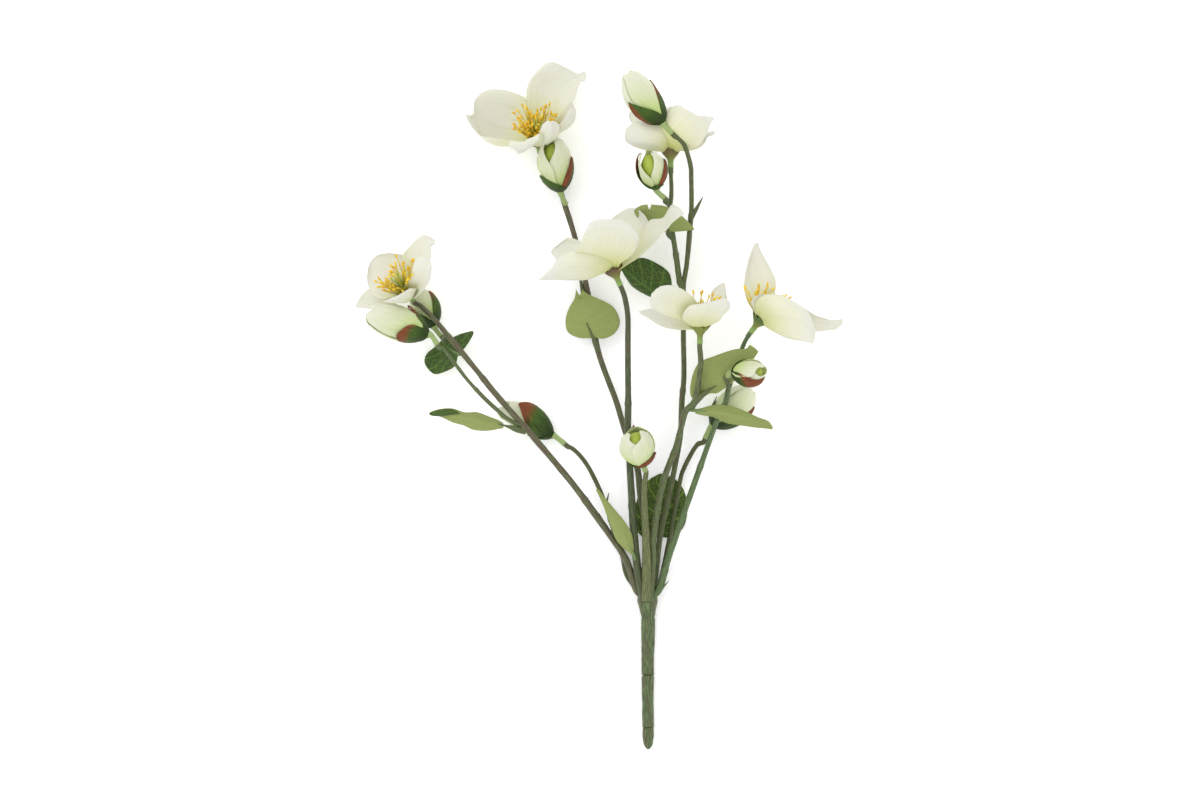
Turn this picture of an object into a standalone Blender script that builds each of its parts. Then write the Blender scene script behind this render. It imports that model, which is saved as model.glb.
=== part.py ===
"""A spray of white hellebore with six flowers, nine buds and nine leaves, lying on a surface.

Metres, +Z up. The surface is z = 0, the trunk points along -Y and the flowers along +Y.
Places are given on a plan of the spray seen from above: plan units across and down the
plan, and a height above the surface in millimetres.
"""
import math

import bmesh
import bpy
from mathutils import Matrix, Vector

MM = 0.001
PLAN_UNIT = 0.00066
PLAN_ORIGIN = (599.0, 406.2)
UP = Vector((0, 0, 1))

GAP = 0.3 * MM
CLOTH = 1.0 * MM
LEAF_CLOTH = 0.8 * MM
SHELL = 0.8 * MM
LOWEST_SHEET = 0.62 * MM

# Trunk: place across and down the plan, height of its axis and its radius.
TRUNK_PATH = [
    (648.8, 749.0, 3.7, 0.9), (648.8, 747.4, 3.7, 2.5), (648.8, 744.0, 3.7, 3.4),
    (648.8, 728.6, 3.7, 3.7), (648.8, 727.0, 3.8, 3.3), (648.8, 725.4, 3.9, 3.8),
    (648.7, 677.2, 4.2, 4.1), (648.7, 675.5, 4.2, 3.7), (648.7, 673.8, 4.3, 4.2),
    (648.7, 640.0, 4.6, 4.5), (648.6, 620.0, 5.2, 4.9), (648.6, 618.4, 5.3, 4.4),
    (648.6, 616.8, 5.5, 4.9), (648.5, 607.0, 7.6, 6.8), (648.5, 601.5, 7.6, 7.3),
]
CROWN_RING = 5.7 * MM
CROWN_LEAD = 4.0 * MM

NECK_RADIUS = 1.65 * MM
NECK_LENGTH = 5.5 * MM
CALYX_HEIGHT = 6.5 * MM
CALYX_RIM = 4.6 * MM
HUB_RADIUS = 5.0 * MM
PETAL_WIDTHS = [(0, 0.3), (0.15, 0.5), (0.35, 0.85), (0.55, 1.0), (0.72, 0.95), (0.88, 0.6), (1, 0.14)]
PETAL_BOWL = 0.15
PETAL_CUP = 0.3
STAMEN_HEIGHT = 20.0 * MM
STAMEN_SPREAD = 7.0 * MM

# Flowers: hub place, axis, width of a petal in millimetres, and the five petal tips.
FLOWERS = {
    "flower_1": dict(
        hub=(406, 291, 34), axis=(-0.45, 0.54, 0.71), petal=21, stamens=0.85,
        tips=[(436, 243, 25), (371, 259, 25), (357, 306.5, 15), (403, 304, 62), (431, 277, 58)],
    ),
    "flower_2": dict(
        hub=(538, 140, 17), axis=(-0.15, 0.60, 0.78), petal=28, stamens=1.0,
        tips=[(568, 64.5, 0.6), (468, 117, 0.6), (520, 156, 54), (552, 126, 60), (577, 120, 42)],
    ),
    "flower_3": dict(
        hub=(614, 270, 45), axis=(-0.40, 0.92, 0.0), petal=28, stamens=0.9,
        tips=[(541, 280, 49), (553, 251, 14), (632, 209, 9), (683, 213, 47), (606, 226, 84)],
    ),
    "flower_4": dict(
        hub=(671, 152, 33), axis=(0.12, 0.95, -0.25), petal=20, stamens=0.7,
        tips=[(626, 138, 39), (632, 113, 15), (677, 106, 0.6), (715, 133, 22), (713, 120, 44)],
    ),
    "flower_5": dict(
        hub=(699, 326, 50), axis=(0.10, 0.97, 0.2), petal=21, stamens=0.75,
        tips=[(640, 312.5, 50), (692, 292, 22), (724, 283, 38), (716, 306, 80), (662, 292, 76)],
    ),
    "flower_6": dict(
        hub=(761.5, 318.5, 40), axis=(0.66, 0.73, 0.17), petal=28, stamens=0.9,
        tips=[(758, 244, 20), (790, 298, 0.6), (841, 325, 32), (812, 341, 66), (763, 292, 84)],
    ),
}

# Buds: base and tip, radius in millimetres and length of the neck tube in millimetres.
BUDS = {
    "bud_1": dict(base=(430, 335, 32), tip=(368, 316, 34), radius=11.6, neck=6.6),
    "bud_2": dict(base=(436, 328, 14.5), tip=(417, 290, 9), radius=8.6, neck=6.0),
    "bud_3": dict(base=(555, 436, 10.4), tip=(500, 407, 10.4), radius=9.0, neck=6.6),
    "bud_4": dict(base=(561, 193, 16), tip=(554, 143, 27.5), radius=11.2, neck=5.5),
    "bud_5": dict(base=(644, 467, 33), tip=(635, 431, 49), radius=10.6, neck=5.0),
    "bud_6": dict(base=(664, 126, 54), tip=(629.5, 74, 56), radius=10.2, neck=6.6),
    "bud_7": dict(base=(656, 190, 39), tip=(647, 155, 50), radius=9.0, neck=5.5),
    "bud_8": dict(base=(712, 427, 12.2), tip=(752, 390, 12.2), radius=10.8, neck=6.0),
    "bud_9": dict(base=(730, 378, 44), tip=(765, 367, 53), radius=7.8, neck=3.0),
}

# Stems: where each starts (an angle round the crown, or a place on another stem), the places
# that it runs through, the flower or bud that ends it, and its radius in millimetres near
# the start and at the end.
STEMS = {
    "stem_1": dict(
        crown=180, ends="flower_1", radii=(2.1, 1.5),
        path=[(633, 580, 8.8), (629, 562, 10.5), (611, 534, 14), (580, 492, 20), (540, 443.5, 26.8),
              (528, 429, 27.8), (515, 412, 28.4), (498, 389, 28.4), (480, 373, 28), (451, 339, 27),
              (437, 322, 26.2), (424, 309, 25.2)],
    ),
    "stem_2": dict(
        crown=260, ends="flower_2", radii=(1.9, 1.6),
        path=[(650, 560, 3.2), (648, 530, 5), (641.6, 498, 6.5), (638, 467, 7.5), (625.5, 429.5, 8),
              (616.6, 400, 8.5), (599, 351, 9), (589, 294, 9), (575.6, 240, 8), (566, 206, 6),
              (558, 182, 4.4), (549, 163, 3.8)],
    ),
    "stem_3": dict(
        crown=140, ends="flower_3", radii=(2.3, 1.6),
        path=[(640, 580, 12.4), (637, 558, 14), (634.5, 540, 15.5), (633.6, 498, 18), (630.4, 458, 21),
              (628.7, 430, 23), (629, 400, 25), (628.7, 350, 31), (628.7, 318, 37), (626, 300, 41.5)],
    ),
    "stem_4": dict(
        crown=340, ends="bud_6", radii=(2.0, 1.5),
        path=[(660.4, 540, 8.5), (667, 508, 10), (673.8, 476, 11.5), (681, 436, 13), (682.7, 400, 14.5),
              (684.7, 376, 15.5), (684, 330, 17), (684, 289, 18), (687.5, 264, 21), (690.5, 230, 25),
              (692, 207, 30), (691.7, 180, 38), (691, 167, 43), (685.7, 149, 49), (680, 141, 51)],
    ),
    "stem_5": dict(
        crown=60, ends="flower_5", radii=(2.0, 1.6),
        path=[(654, 560, 15), (654, 540, 17.5), (658.6, 507, 21), (665.7, 476, 25), (675.5, 450, 28),
              (681, 430, 31), (686, 412, 33.5), (694, 403, 35.5), (697, 394, 37), (701, 365, 42)],
    ),
    "stem_6": dict(
        crown=20, ends="flower_6", radii=(2.2, 1.4),
        path=[(661, 587, 10), (669, 558, 13), (674.6, 540, 14.5), (682.3, 520, 16), (689.8, 498, 17.5),
              (708.6, 445, 23), (716.6, 423, 26.5), (725, 406, 28.6), (729, 388, 29.4), (734, 372, 30.4),
              (743.5, 346, 34)],
    ),
    "bud_3_stem": dict(
        crown=220, ends="bud_3", radii=(1.6, 1.4),
        path=[(625, 577, 4.4), (619, 556, 5), (613, 530, 6), (606, 505, 7.5), (600, 487, 8.5),
              (591, 471, 9.5), (586.5, 463, 10), (572, 448, 11.4)],
    ),
    "bud_5_stem": dict(
        crown=100, ends="bud_5", radii=(1.8, 1.5),
        path=[(646.5, 560, 17), (646.5, 530, 21), (646.5, 500, 26), (646, 484, 28)],
    ),
    "bud_8_stem": dict(
        crown=300, ends="bud_8", radii=(1.6, 1.4),
        path=[(660, 585, 2.3), (670, 540, 4.6), (680, 485, 8), (685.4, 467, 9), (697, 446, 10.8)],
    ),
    "bud_1_twig": dict(
        on=("stem_1", 525, 425), ends="bud_1", radii=(1.1, 1.1),
        path=[(510, 419.5, 28.3), (500, 411, 28.6), (485, 396, 29), (469, 380, 29.5), (455, 362, 30),
              (445, 349, 30.4)],
    ),
    "bud_2_twig": dict(
        on=("stem_1", 447, 334), ends="bud_2", radii=(1.2, 1.2),
        path=[(444, 340, 20)],
    ),
    "flower_4_twig": dict(
        on=("stem_4", 684, 292), ends="flower_4", radii=(1.7, 1.3),
        path=[(680, 279, 19.5), (676.8, 257, 22.5), (673, 232, 25.5), (670, 215, 27.5), (672, 196, 30)],
    ),
    "bud_7_twig": dict(
        on=("flower_4_twig", 670, 200), ends="bud_7", radii=(1.2, 1.2),
        path=[(665, 202.5, 33.5)],
    ),
    "bud_9_twig": dict(
        on=("stem_6", 729, 390), ends="bud_9", radii=(1.3, 1.3),
        path=[(728.5, 387, 36.6), (723.5, 384, 40)],
    ),
}

# Leaves: the stem and place that each grows from, the base and tip of its blade, and for the
# left and the right half the width on the plan and the rise of its edge in millimetres.
LEAVES = {
    "leaf_1": dict(on=("stem_1", 464, 355), base=(459, 354, 22), tip=(441, 341, 2.5),
                   left=(27, 1), right=(26, -1), bow=3),
    "leaf_2": dict(on=("stem_1", 529, 431), base=(513, 429, 26), tip=(431, 413, 23),
                   left=(9, -5), right=(9, -3), bow=2),
    "leaf_3": dict(on=("stem_2", 598.5, 350), base=(596, 341, 13.6), tip=(580, 288, 14),
                   left=(27, -1), right=(26, 0), bow=2),
    "leaf_4": dict(on=("stem_3", 637, 559), base=(634, 552, 19), tip=(598, 490, 26),
                   left=(8, -5), right=(9, -4), bow=5),
    "leaf_5": dict(on=("stem_4", 684, 304), base=(670, 299, 17), tip=(622, 268, 22),
                   left=(9, -6), right=(24, 0), bow=1),
    "leaf_6": dict(on=("stem_4", 661, 538), base=(657.5, 533, 1.6), tip=(662, 474, 1.2),
                   left=(25, 0), right=(26, 0), bow=0),
    "leaf_7": dict(on=("flower_4_twig", 674, 237), base=(670.5, 230, 29.6), tip=(650, 206, 33),
                   left=(18, 0), right=(18, 0), bow=0),
    "leaf_8": dict(on=("stem_5", 695, 402), base=(701, 398, 34.5), tip=(755, 348, 38.5),
                   left=(23, -2), right=(9, -3), bow=0),
    "leaf_9": dict(on=("stem_5", 689, 411), base=(698, 410, 35), tip=(772, 429, 35),
                   left=(8, -4), right=(9, -2), bow=1),
}


def at(across, down, height):
    """The point at a place on the plan and a height in millimetres."""
    x = (across - PLAN_ORIGIN[0]) * PLAN_UNIT
    y = (PLAN_ORIGIN[1] - down) * PLAN_UNIT
    return Vector((x, y, height * MM))


def clear_scene():
    for obj in list(bpy.data.objects):
        bpy.data.objects.remove(obj)


def make_collection():
    collection = bpy.data.collections.new("hellebore_spray")
    bpy.context.scene.collection.children.link(collection)
    return collection


def add(name, data, colour, roughness, frame=None):
    """Links a new object for the data, with a material of its own."""
    material = bpy.data.materials.new(name)
    material.use_nodes = True
    shader = material.node_tree.nodes["Principled BSDF"]
    shader.inputs["Base Color"].default_value = (*colour, 1)
    shader.inputs["Roughness"].default_value = roughness
    shader.inputs["Metallic"].default_value = 0
    data.materials.append(material)
    obj = bpy.data.objects.new(name, data)
    if frame:
        obj.matrix_world = frame
    COLLECTION.objects.link(obj)
    return obj


def frame_on(origin, axis):
    """A frame at the origin whose Z runs along the axis."""
    turn = axis.normalized().to_track_quat("Z", "Y").to_matrix().to_4x4()
    return Matrix.Translation(origin) @ turn


def thicken(obj, thickness):
    solidify = obj.modifiers.new("thickness", "SOLIDIFY")
    solidify.thickness = thickness
    solidify.offset = 0


def smooth(mesh):
    mesh.polygons.foreach_set("use_smooth", [True] * len(mesh.polygons))


def tube(name, points, radii, colour, sides=0):
    """A round stem through the points, with a radius at each. More sides for a thick one."""
    curve = bpy.data.curves.new(name, "CURVE")
    curve.dimensions = "3D"
    curve.bevel_depth = MM
    curve.bevel_resolution = 2 + sides
    curve.use_fill_caps = True
    spline = curve.splines.new("POLY")
    spline.points.add(len(points) - 1)
    for knot, point, radius in zip(spline.points, points, radii):
        knot.co = (*point, 1)
        knot.radius = radius / MM
    return add(name, curve, colour, 0.55)


def flower_frame(flower):
    """Hub and unit axis of a flower, and the lower end of its neck tube."""
    hub = at(*flower["hub"])
    axis = Vector(flower["axis"]).normalized()
    return hub, axis, hub - axis * (CALYX_HEIGHT + NECK_LENGTH)


def bud_frame(bud):
    """Base, unit axis and length of a bud, and the lower end of its neck tube."""
    base = at(*bud["base"])
    reach = at(*bud["tip"]) - base
    axis = reach.normalized()
    return base, axis, reach.length, base - axis * bud["neck"] * MM


def crown_seat(angle):
    """First two points of a stem that starts at this angle round the crown."""
    across, down, height, _ = TRUNK_PATH[-1]
    turn = math.radians(angle)
    seat = at(across, down, height) + CROWN_RING * Vector((math.cos(turn), 0, math.sin(turn)))
    seat.y += GAP
    return [seat, seat + Vector((0, CROWN_LEAD, 0))]


def side_seat(parent, across, down, towards, reach):
    """A point beside another stem, on the side that looks towards a point.

    The reach is how far the new piece's end extends back towards the stem's axis."""
    points, radii = STEM_LINES[parent]
    best = None
    for (a, b), (ra, rb) in zip(zip(points, points[1:]), zip(radii, radii[1:])):
        run = b - a
        wanted = at(across, down, 0) - a
        share = (wanted.x * run.x + wanted.y * run.y) / (run.x**2 + run.y**2)
        share = min(1, max(0, share))
        foot = a + run * share
        distance = (foot - at(across, down, foot.z / MM)).length
        if best is None or distance < best[0]:
            best = (distance, foot, run.normalized(), ra + (rb - ra) * share)
    _, foot, along, radius = best
    away = towards - foot
    away = (away - along * away.dot(along)).normalized()
    lean = (towards - foot).normalized().dot(away)
    back = reach * math.sqrt(max(0, 1 - lean**2))
    return foot + away * (radius + GAP + back)


def stem_line(stem):
    """Points and radii along a stem, from its seat to the neck tube of what it carries."""
    path = [at(*place) for place in stem["path"]]
    start_radius, end_radius = (r * MM for r in stem["radii"])
    if "crown" in stem:
        points = crown_seat(stem["crown"]) + path
        seat_radius = min(start_radius, 1.65 * MM)
    else:
        points = [side_seat(*stem["on"], path[0], start_radius)] + path
        seat_radius = start_radius
    if stem["ends"] in FLOWERS:
        _, axis, neck_end = flower_frame(FLOWERS[stem["ends"]])
    else:
        _, axis, _, neck_end = bud_frame(BUDS[stem["ends"]])
    points += [neck_end - axis * 3.0 * MM, neck_end - axis * GAP]
    last = len(points) - 1
    radii = [start_radius + (end_radius - start_radius) * i / last for i in range(last + 1)]
    radii[0] = seat_radius
    if "crown" in stem:
        radii[1] = seat_radius
    return points, radii


def build_trunk():
    points = [at(*step[:3]) for step in TRUNK_PATH]
    radii = [step[3] * MM for step in TRUNK_PATH]
    tube("trunk", points, radii, (0.10, 0.17, 0.08), sides=2)


def build_stems():
    for name, stem in STEMS.items():
        STEM_LINES[name] = stem_line(stem)
        tube(name, *STEM_LINES[name], (0.13, 0.19, 0.10))


def turned_sheet(profile, steps):
    """An open surface turned round Z from (radius, height) pairs."""
    mesh = bmesh.new()
    chain = [mesh.verts.new((radius, 0, height)) for radius, height in profile]
    edges = [mesh.edges.new(pair) for pair in zip(chain, chain[1:])]
    bmesh.ops.spin(mesh, geom=chain + edges, axis=UP, cent=(0, 0, 0), angle=2 * math.pi,
                   steps=steps, use_merge=True)
    bmesh.ops.remove_doubles(mesh, verts=mesh.verts, dist=0.01 * MM)
    bmesh.ops.recalc_face_normals(mesh, faces=mesh.faces)
    return mesh


def finish_mesh(bm, name):
    mesh = bpy.data.meshes.new(name)
    bm.to_mesh(mesh)
    bm.free()
    smooth(mesh)
    return mesh


def build_calyx(name, flower):
    """A neck tube that flares to a five-pointed rim under the petals."""
    hub, axis, neck_end = flower_frame(flower)
    top = -(CLOTH / 2 + GAP + SHELL / 2)
    wall = NECK_RADIUS - SHELL / 2
    foot = -(CALYX_HEIGHT + NECK_LENGTH)
    profile = [(wall, foot), (wall, foot + NECK_LENGTH / 2), (wall, -CALYX_HEIGHT),
               (0.55 * CALYX_RIM, -0.6 * CALYX_HEIGHT), (CALYX_RIM, top)]
    bm = turned_sheet(profile, 10)
    obj = add(name + "_calyx", finish_mesh(bm, name + "_calyx"), (0.26, 0.30, 0.08), 0.6,
              frame_on(hub, axis))
    thicken(obj, SHELL)


def build_stamens(name, flower):
    """The brush of stamens as one turned cone with a domed top."""
    hub, axis, _ = flower_frame(flower)
    size = flower["stamens"]
    tall = STAMEN_HEIGHT * size
    wide = STAMEN_SPREAD * size
    foot = CLOTH / 2 + GAP
    profile = [(0, tall), (0.55 * wide, 0.97 * tall), (wide, 0.85 * tall), (0.75 * wide, 0.55 * tall),
               (2.0 * MM, foot + 2 * MM), (2.0 * MM, foot), (0, foot)]
    mesh = bpy.data.meshes.new(name + "_stamens")
    mesh.from_pydata([(r, 0, h) for r, h in profile],
                     [(i, i + 1) for i in range(len(profile) - 1)], [])
    obj = add(name + "_stamens", mesh, (0.75, 0.45, 0.02), 0.7, frame_on(hub, axis))
    screw = obj.modifiers.new("turn", "SCREW")
    screw.steps = 10
    screw.render_steps = 10
    screw.use_merge_vertices = True
    screw.merge_threshold = 0.01 * MM


def petal_width(along):
    """Share of the petal's full width at this share of its length: a broad spoon with a tab."""
    for (start, low), (end, high) in zip(PETAL_WIDTHS, PETAL_WIDTHS[1:]):
        if along <= end:
            return low + (high - low) * (along - start) / (end - start)
    return PETAL_WIDTHS[-1][1]


def petal_point(hub, axis, tip, width, across, along):
    """A point of a cupped petal. Across runs from -1 to 1, along from 0 at the hub to 1."""
    reach = tip - hub
    side = axis.cross(reach).normalized()
    inner = reach.cross(side).normalized()
    out = (reach - axis * reach.dot(axis)).normalized()
    root = hub + out * HUB_RADIUS
    knee = root.lerp(tip, 0.5) - inner * PETAL_BOWL * reach.length
    middle = root.lerp(knee, along).lerp(knee.lerp(tip, along), along)
    half = width / 2 * petal_width(along)
    point = middle + side * half * across + inner * PETAL_CUP * half * across**2
    point.z = max(point.z, LOWEST_SHEET)
    return point


def hub_ring(hub, axis, tips):
    """For each petal in order round the axis: its tip, and the rim corners on its two sides."""
    first = (tips[0] - hub).normalized()
    east = (first - axis * first.dot(axis)).normalized()
    north = axis.cross(east)

    def bearing(tip):
        reach = tip - hub
        return math.atan2(reach.dot(north), reach.dot(east)) % (2 * math.pi)

    ordered = sorted(tips, key=bearing)
    bearings = [bearing(tip) for tip in ordered]
    corners = []
    for i, here in enumerate(bearings):
        following = bearings[(i + 1) % len(bearings)]
        gap = (following - here) % (2 * math.pi)
        turn = here + gap / 2
        corners.append(hub + HUB_RADIUS * (east * math.cos(turn) + north * math.sin(turn)))
    return [(tip, corners[i - 1], corners[i]) for i, tip in enumerate(ordered)]


def build_petals(name, flower):
    """Five cupped petals that grow from a common hub, cut from one sheet."""
    hub, axis, _ = flower_frame(flower)
    tips = [at(*tip) for tip in flower["tips"]]
    width = flower["petal"] * MM
    rows = 7
    bm = bmesh.new()
    centre = bm.verts.new(hub)
    for tip, before, after in hub_ring(hub, axis, tips):
        grid = []
        for row in range(rows + 1):
            along = row / rows
            line = [petal_point(hub, axis, tip, width, across, along) for across in (-1, 0, 1)]
            if row == 0:
                line = [before, line[1], after]
            grid.append([bm.verts.new(point) for point in line])
        bm.faces.new((centre, grid[0][0], grid[0][1]))
        bm.faces.new((centre, grid[0][1], grid[0][2]))
        for lower, upper in zip(grid, grid[1:]):
            for i in range(2):
                bm.faces.new((lower[i], upper[i], upper[i + 1], lower[i + 1]))
    bmesh.ops.remove_doubles(bm, verts=bm.verts, dist=0.01 * MM)
    bmesh.ops.recalc_face_normals(bm, faces=bm.faces)
    obj = add(name + "_petals", finish_mesh(bm, name + "_petals"), (0.80, 0.80, 0.70), 0.8)
    thicken(obj, CLOTH)


def bud_width(share):
    """Share of the bud's full radius at this share of its height."""
    return math.sin(math.pi * max(0, share) ** 0.8) ** 0.7 if 0 < share < 1 else 0


def build_bud(name, bud):
    """A ball of wrapped petals, in a cup of three pointed sepals on a neck tube."""
    base, axis, length, _ = bud_frame(bud)
    radius = bud["radius"] * MM
    frame = frame_on(base, axis)
    lift = 1.4 * MM
    bm = bmesh.new()
    bmesh.ops.create_uvsphere(bm, u_segments=12, v_segments=8, radius=1)
    for vert in bm.verts:
        share = (vert.co.z + 1) / 2
        flat = Vector((vert.co.x, vert.co.y, 0))
        if flat.length > 0.01:
            vert.co = flat.normalized() * radius * bud_width(share)
        vert.co.z = lift + share * (length - lift)
    add(name + "_petals", finish_mesh(bm, name + "_petals"), (0.72, 0.80, 0.50), 0.8, frame)

    wall = NECK_RADIUS - SHELL / 2
    profile = [(wall, -bud["neck"] * MM), (wall, -0.4 * bud["neck"] * MM), (wall, 0)]
    profile += [(radius, share) for share in (0.12, 0.3, 0.5, 0.75, 1.0)]
    bm = turned_sheet(profile, 12)
    for vert in bm.verts:
        if vert.co.z > 0:
            turn = math.atan2(vert.co.y, vert.co.x)
            lobe = 0.5 + 0.5 * math.cos(3 * turn)
            share = vert.co.z
            height = share * (0.24 + 0.22 * lobe * share) * length
            inside = radius * bud_width((height - 0.6 * MM) / (length - lift))
            clear = inside + GAP + SHELL
            clear = max(clear, wall)
            vert.co = Vector((math.cos(turn) * clear, math.sin(turn) * clear, height))
    obj = add(name + "_sepals", finish_mesh(bm, name + "_sepals"), (0.07, 0.16, 0.03), 0.6, frame)
    thicken(obj, SHELL)


def leaf_width(along):
    """Share of the leaf's half width at this share of its length."""
    return math.sin(math.pi * along**0.62) ** 0.8 if 0 < along < 1 else 0


def build_leaf(name, leaf):
    """A heart-shaped blade on a flat petiole that starts beside its stem."""
    base, tip = at(*leaf["base"]), at(*leaf["tip"])
    half_strip = 0.8 * MM
    seat = side_seat(*leaf["on"], base, half_strip + LEAF_CLOTH / 2)
    forward = Vector((tip.x - base.x, tip.y - base.y, 0)).normalized()
    sideways = Vector((-forward.y, forward.x, 0))
    rows = 6
    bm = bmesh.new()
    bmesh.ops.create_grid(bm, x_segments=2, y_segments=rows + 1, size=1)
    for vert in bm.verts:
        across = vert.co.x
        row = round((vert.co.y + 1) / 2 * (rows + 1)) - 1
        along = max(row, 0) / rows
        middle = base.lerp(tip, along) if row >= 0 else seat
        middle = middle + UP * leaf["bow"] * MM * 4 * along * (1 - along)
        spread, rise = leaf["left"] if across < 0 else leaf["right"]
        width = leaf_width(along)
        edge = -sideways if across > 0 else sideways
        half = max(spread * PLAN_UNIT * width, half_strip * (1 - 0.4 * along))
        vert.co = middle + (edge * half + UP * rise * MM * width) * abs(across)
        if row >= 0:
            vert.co.z = max(vert.co.z, LOWEST_SHEET)
    bmesh.ops.recalc_face_normals(bm, faces=bm.faces)
    obj = add(name, finish_mesh(bm, name), (0.30, 0.42, 0.13), 0.7)
    thicken(obj, LEAF_CLOTH)


clear_scene()
COLLECTION = make_collection()
STEM_LINES = {}
build_trunk()
build_stems()
for flower_name, flower_data in FLOWERS.items():
    build_calyx(flower_name, flower_data)
    build_petals(flower_name, flower_data)
    build_stamens(flower_name, flower_data)
for bud_name, bud_data in BUDS.items():
    build_bud(bud_name, bud_data)
for leaf_name, leaf_data in LEAVES.items():
    build_leaf(leaf_name, leaf_data)
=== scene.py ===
"""The look of a spray of white hellebore that lies on a pale floor, seen from above.

Places are given on a plan of the spray: units across and down the plan, and a height in
millimetres above the floor. at() turns such a place into a point of the row frame.
"""
import math
import random

import bpy
from mathutils import Matrix, Vector, noise


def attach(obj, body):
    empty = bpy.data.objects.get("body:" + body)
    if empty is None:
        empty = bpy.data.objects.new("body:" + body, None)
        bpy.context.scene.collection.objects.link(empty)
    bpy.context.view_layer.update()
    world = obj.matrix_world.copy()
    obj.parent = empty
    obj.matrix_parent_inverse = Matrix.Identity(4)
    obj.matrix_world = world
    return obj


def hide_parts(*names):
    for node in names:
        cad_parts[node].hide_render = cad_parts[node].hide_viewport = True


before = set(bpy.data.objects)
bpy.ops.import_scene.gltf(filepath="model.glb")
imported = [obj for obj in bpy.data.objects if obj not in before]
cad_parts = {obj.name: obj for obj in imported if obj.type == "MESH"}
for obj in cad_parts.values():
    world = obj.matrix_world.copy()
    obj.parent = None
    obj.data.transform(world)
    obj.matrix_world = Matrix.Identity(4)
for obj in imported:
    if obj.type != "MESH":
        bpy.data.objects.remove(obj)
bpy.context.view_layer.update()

MM = 0.001
UP = Vector((0, 0, 1))
BLACK = (0, 0, 0, 1)
WHITE = (1, 1, 1, 1)

# The plan, in metres to a unit, and the camera, which looks straight down on it.
PLAN_UNIT = 0.00066
PLAN_ORIGIN = (599.0, 406.2)
IMAGE_CENTRE = (600.9, 400.1)
IMAGE_WIDTH = 1200
CAMERA_HEIGHT = 8.0
CAMERA_REACH = 50.0
SENSOR_WIDTH = 36.0

# The studio: how bright it and its sky are, how much the floor glows, and half the floor's side
# in metres.
LIGHT_LEVEL = 1.12
SKY_LEVEL = 0.95 * LIGHT_LEVEL
FLOOR_GLOW = 0.22
FLOOR_HALF = 3.0

# The sheets: their thickness, how low their middles may lie, how finely they are divided, and how
# sharply a blade bends along its midrib.
PETAL_THICKNESS = 0.35 * MM
WRAPPED_THICKNESS = 0.4 * MM
LEAF_THICKNESS = 0.4 * MM
CUP_THICKNESS = 0.5 * MM
LOWEST_SHEET = 0.5 * MM
PETAL_STEPS = 7
PETAL_COLUMNS = 22
LEAF_STEPS = 8
LEAF_COLUMNS = 28
LEAF_CREASE = 0.55

# A flower: the ring that its petals spring from, its neck, the turn in radians from one stamen to
# the next, its small parts, and its calyx's outline as radius and height in millimetres.
HUB_RADIUS = 4.2 * MM
NECK_LENGTH = 12 * MM
GOLDEN_ANGLE = 2.39996
ANTHER_LENGTH = 3.0 * MM
NECTARIES = 14
PISTILS = 8
CALYX_SIDES = 40
CALYX_PROFILE = [(1.62, -12), (1.66, -9.5), (1.5, -9.1), (1.62, -8.6), (1.7, -7), (2.2, -5.6),
                 (3.3, -4), (4.5, -2.6), (5.3, -1.3), (5.9, -0.2)]

# A bud: how far its ball starts above the end of its cup, how far its petals part unless the bud
# says so, and the shares of its height at which its heart has rings.
BUD_LIFT = 1.4 * MM
BUD_GAP = 0.66
HEART_SIDES = 28
HEART_RINGS = (0.004, 0.03, 0.08, 0.16, 0.28, 0.42, 0.56, 0.7, 0.8, 0.88, 0.93, 0.965)

# Radii in millimetres: a stem's end in its neck, and a petiole at its foot and under its blade.
NECK_RADIUS = 1.72
PETIOLE_RADIUS = 1.15
PETIOLE_TIP_RADIUS = 0.4

# Trunk: place across and down the plan, height of its axis and its radius.
TRUNK_PATH = [
    (649, 749.3, 3.7, 0.4), (649, 748.3, 3.7, 1.3), (649, 746, 3.7, 2.5), (649, 742, 3.7, 3.3),
    (648.9, 735, 3.7, 3.75), (648.9, 729, 3.7, 3.7), (648.8, 727.8, 3.7, 3.5), (648.8, 727, 3.8, 2.75),
    (648.8, 726.1, 3.9, 3.6), (648.8, 724.5, 3.9, 3.9), (648.8, 700, 4, 3.85), (648.7, 678, 4.2, 4.15),
    (648.7, 676.4, 4.2, 3.95), (648.7, 675.5, 4.2, 3.1), (648.7, 674.5, 4.3, 4),
    (648.7, 672.5, 4.3, 4.15), (648.7, 655, 4.4, 4.15), (648.9, 640, 4.6, 4.4), (649, 621.5, 5.2, 4.75),
    (649, 619.4, 5.2, 4.6), (649, 618.4, 5.3, 3.8), (649, 617.2, 5.5, 4.6), (649, 615, 5.8, 4.9),
    (648.8, 610, 6.8, 5.4), (648.6, 605.5, 7.5, 6.1), (648.5, 602.5, 7.6, 6.5), (648.5, 601.3, 7.6, 5.9),
]
# The crown's centre, the radius of the ring that the stems sit on, and where its sleeves start.
CROWN = (648.5, 601.5, 7.6)
CROWN_RING = 4.2
CROWN_ROOT = (648.5, 609, 7.2)

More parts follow.
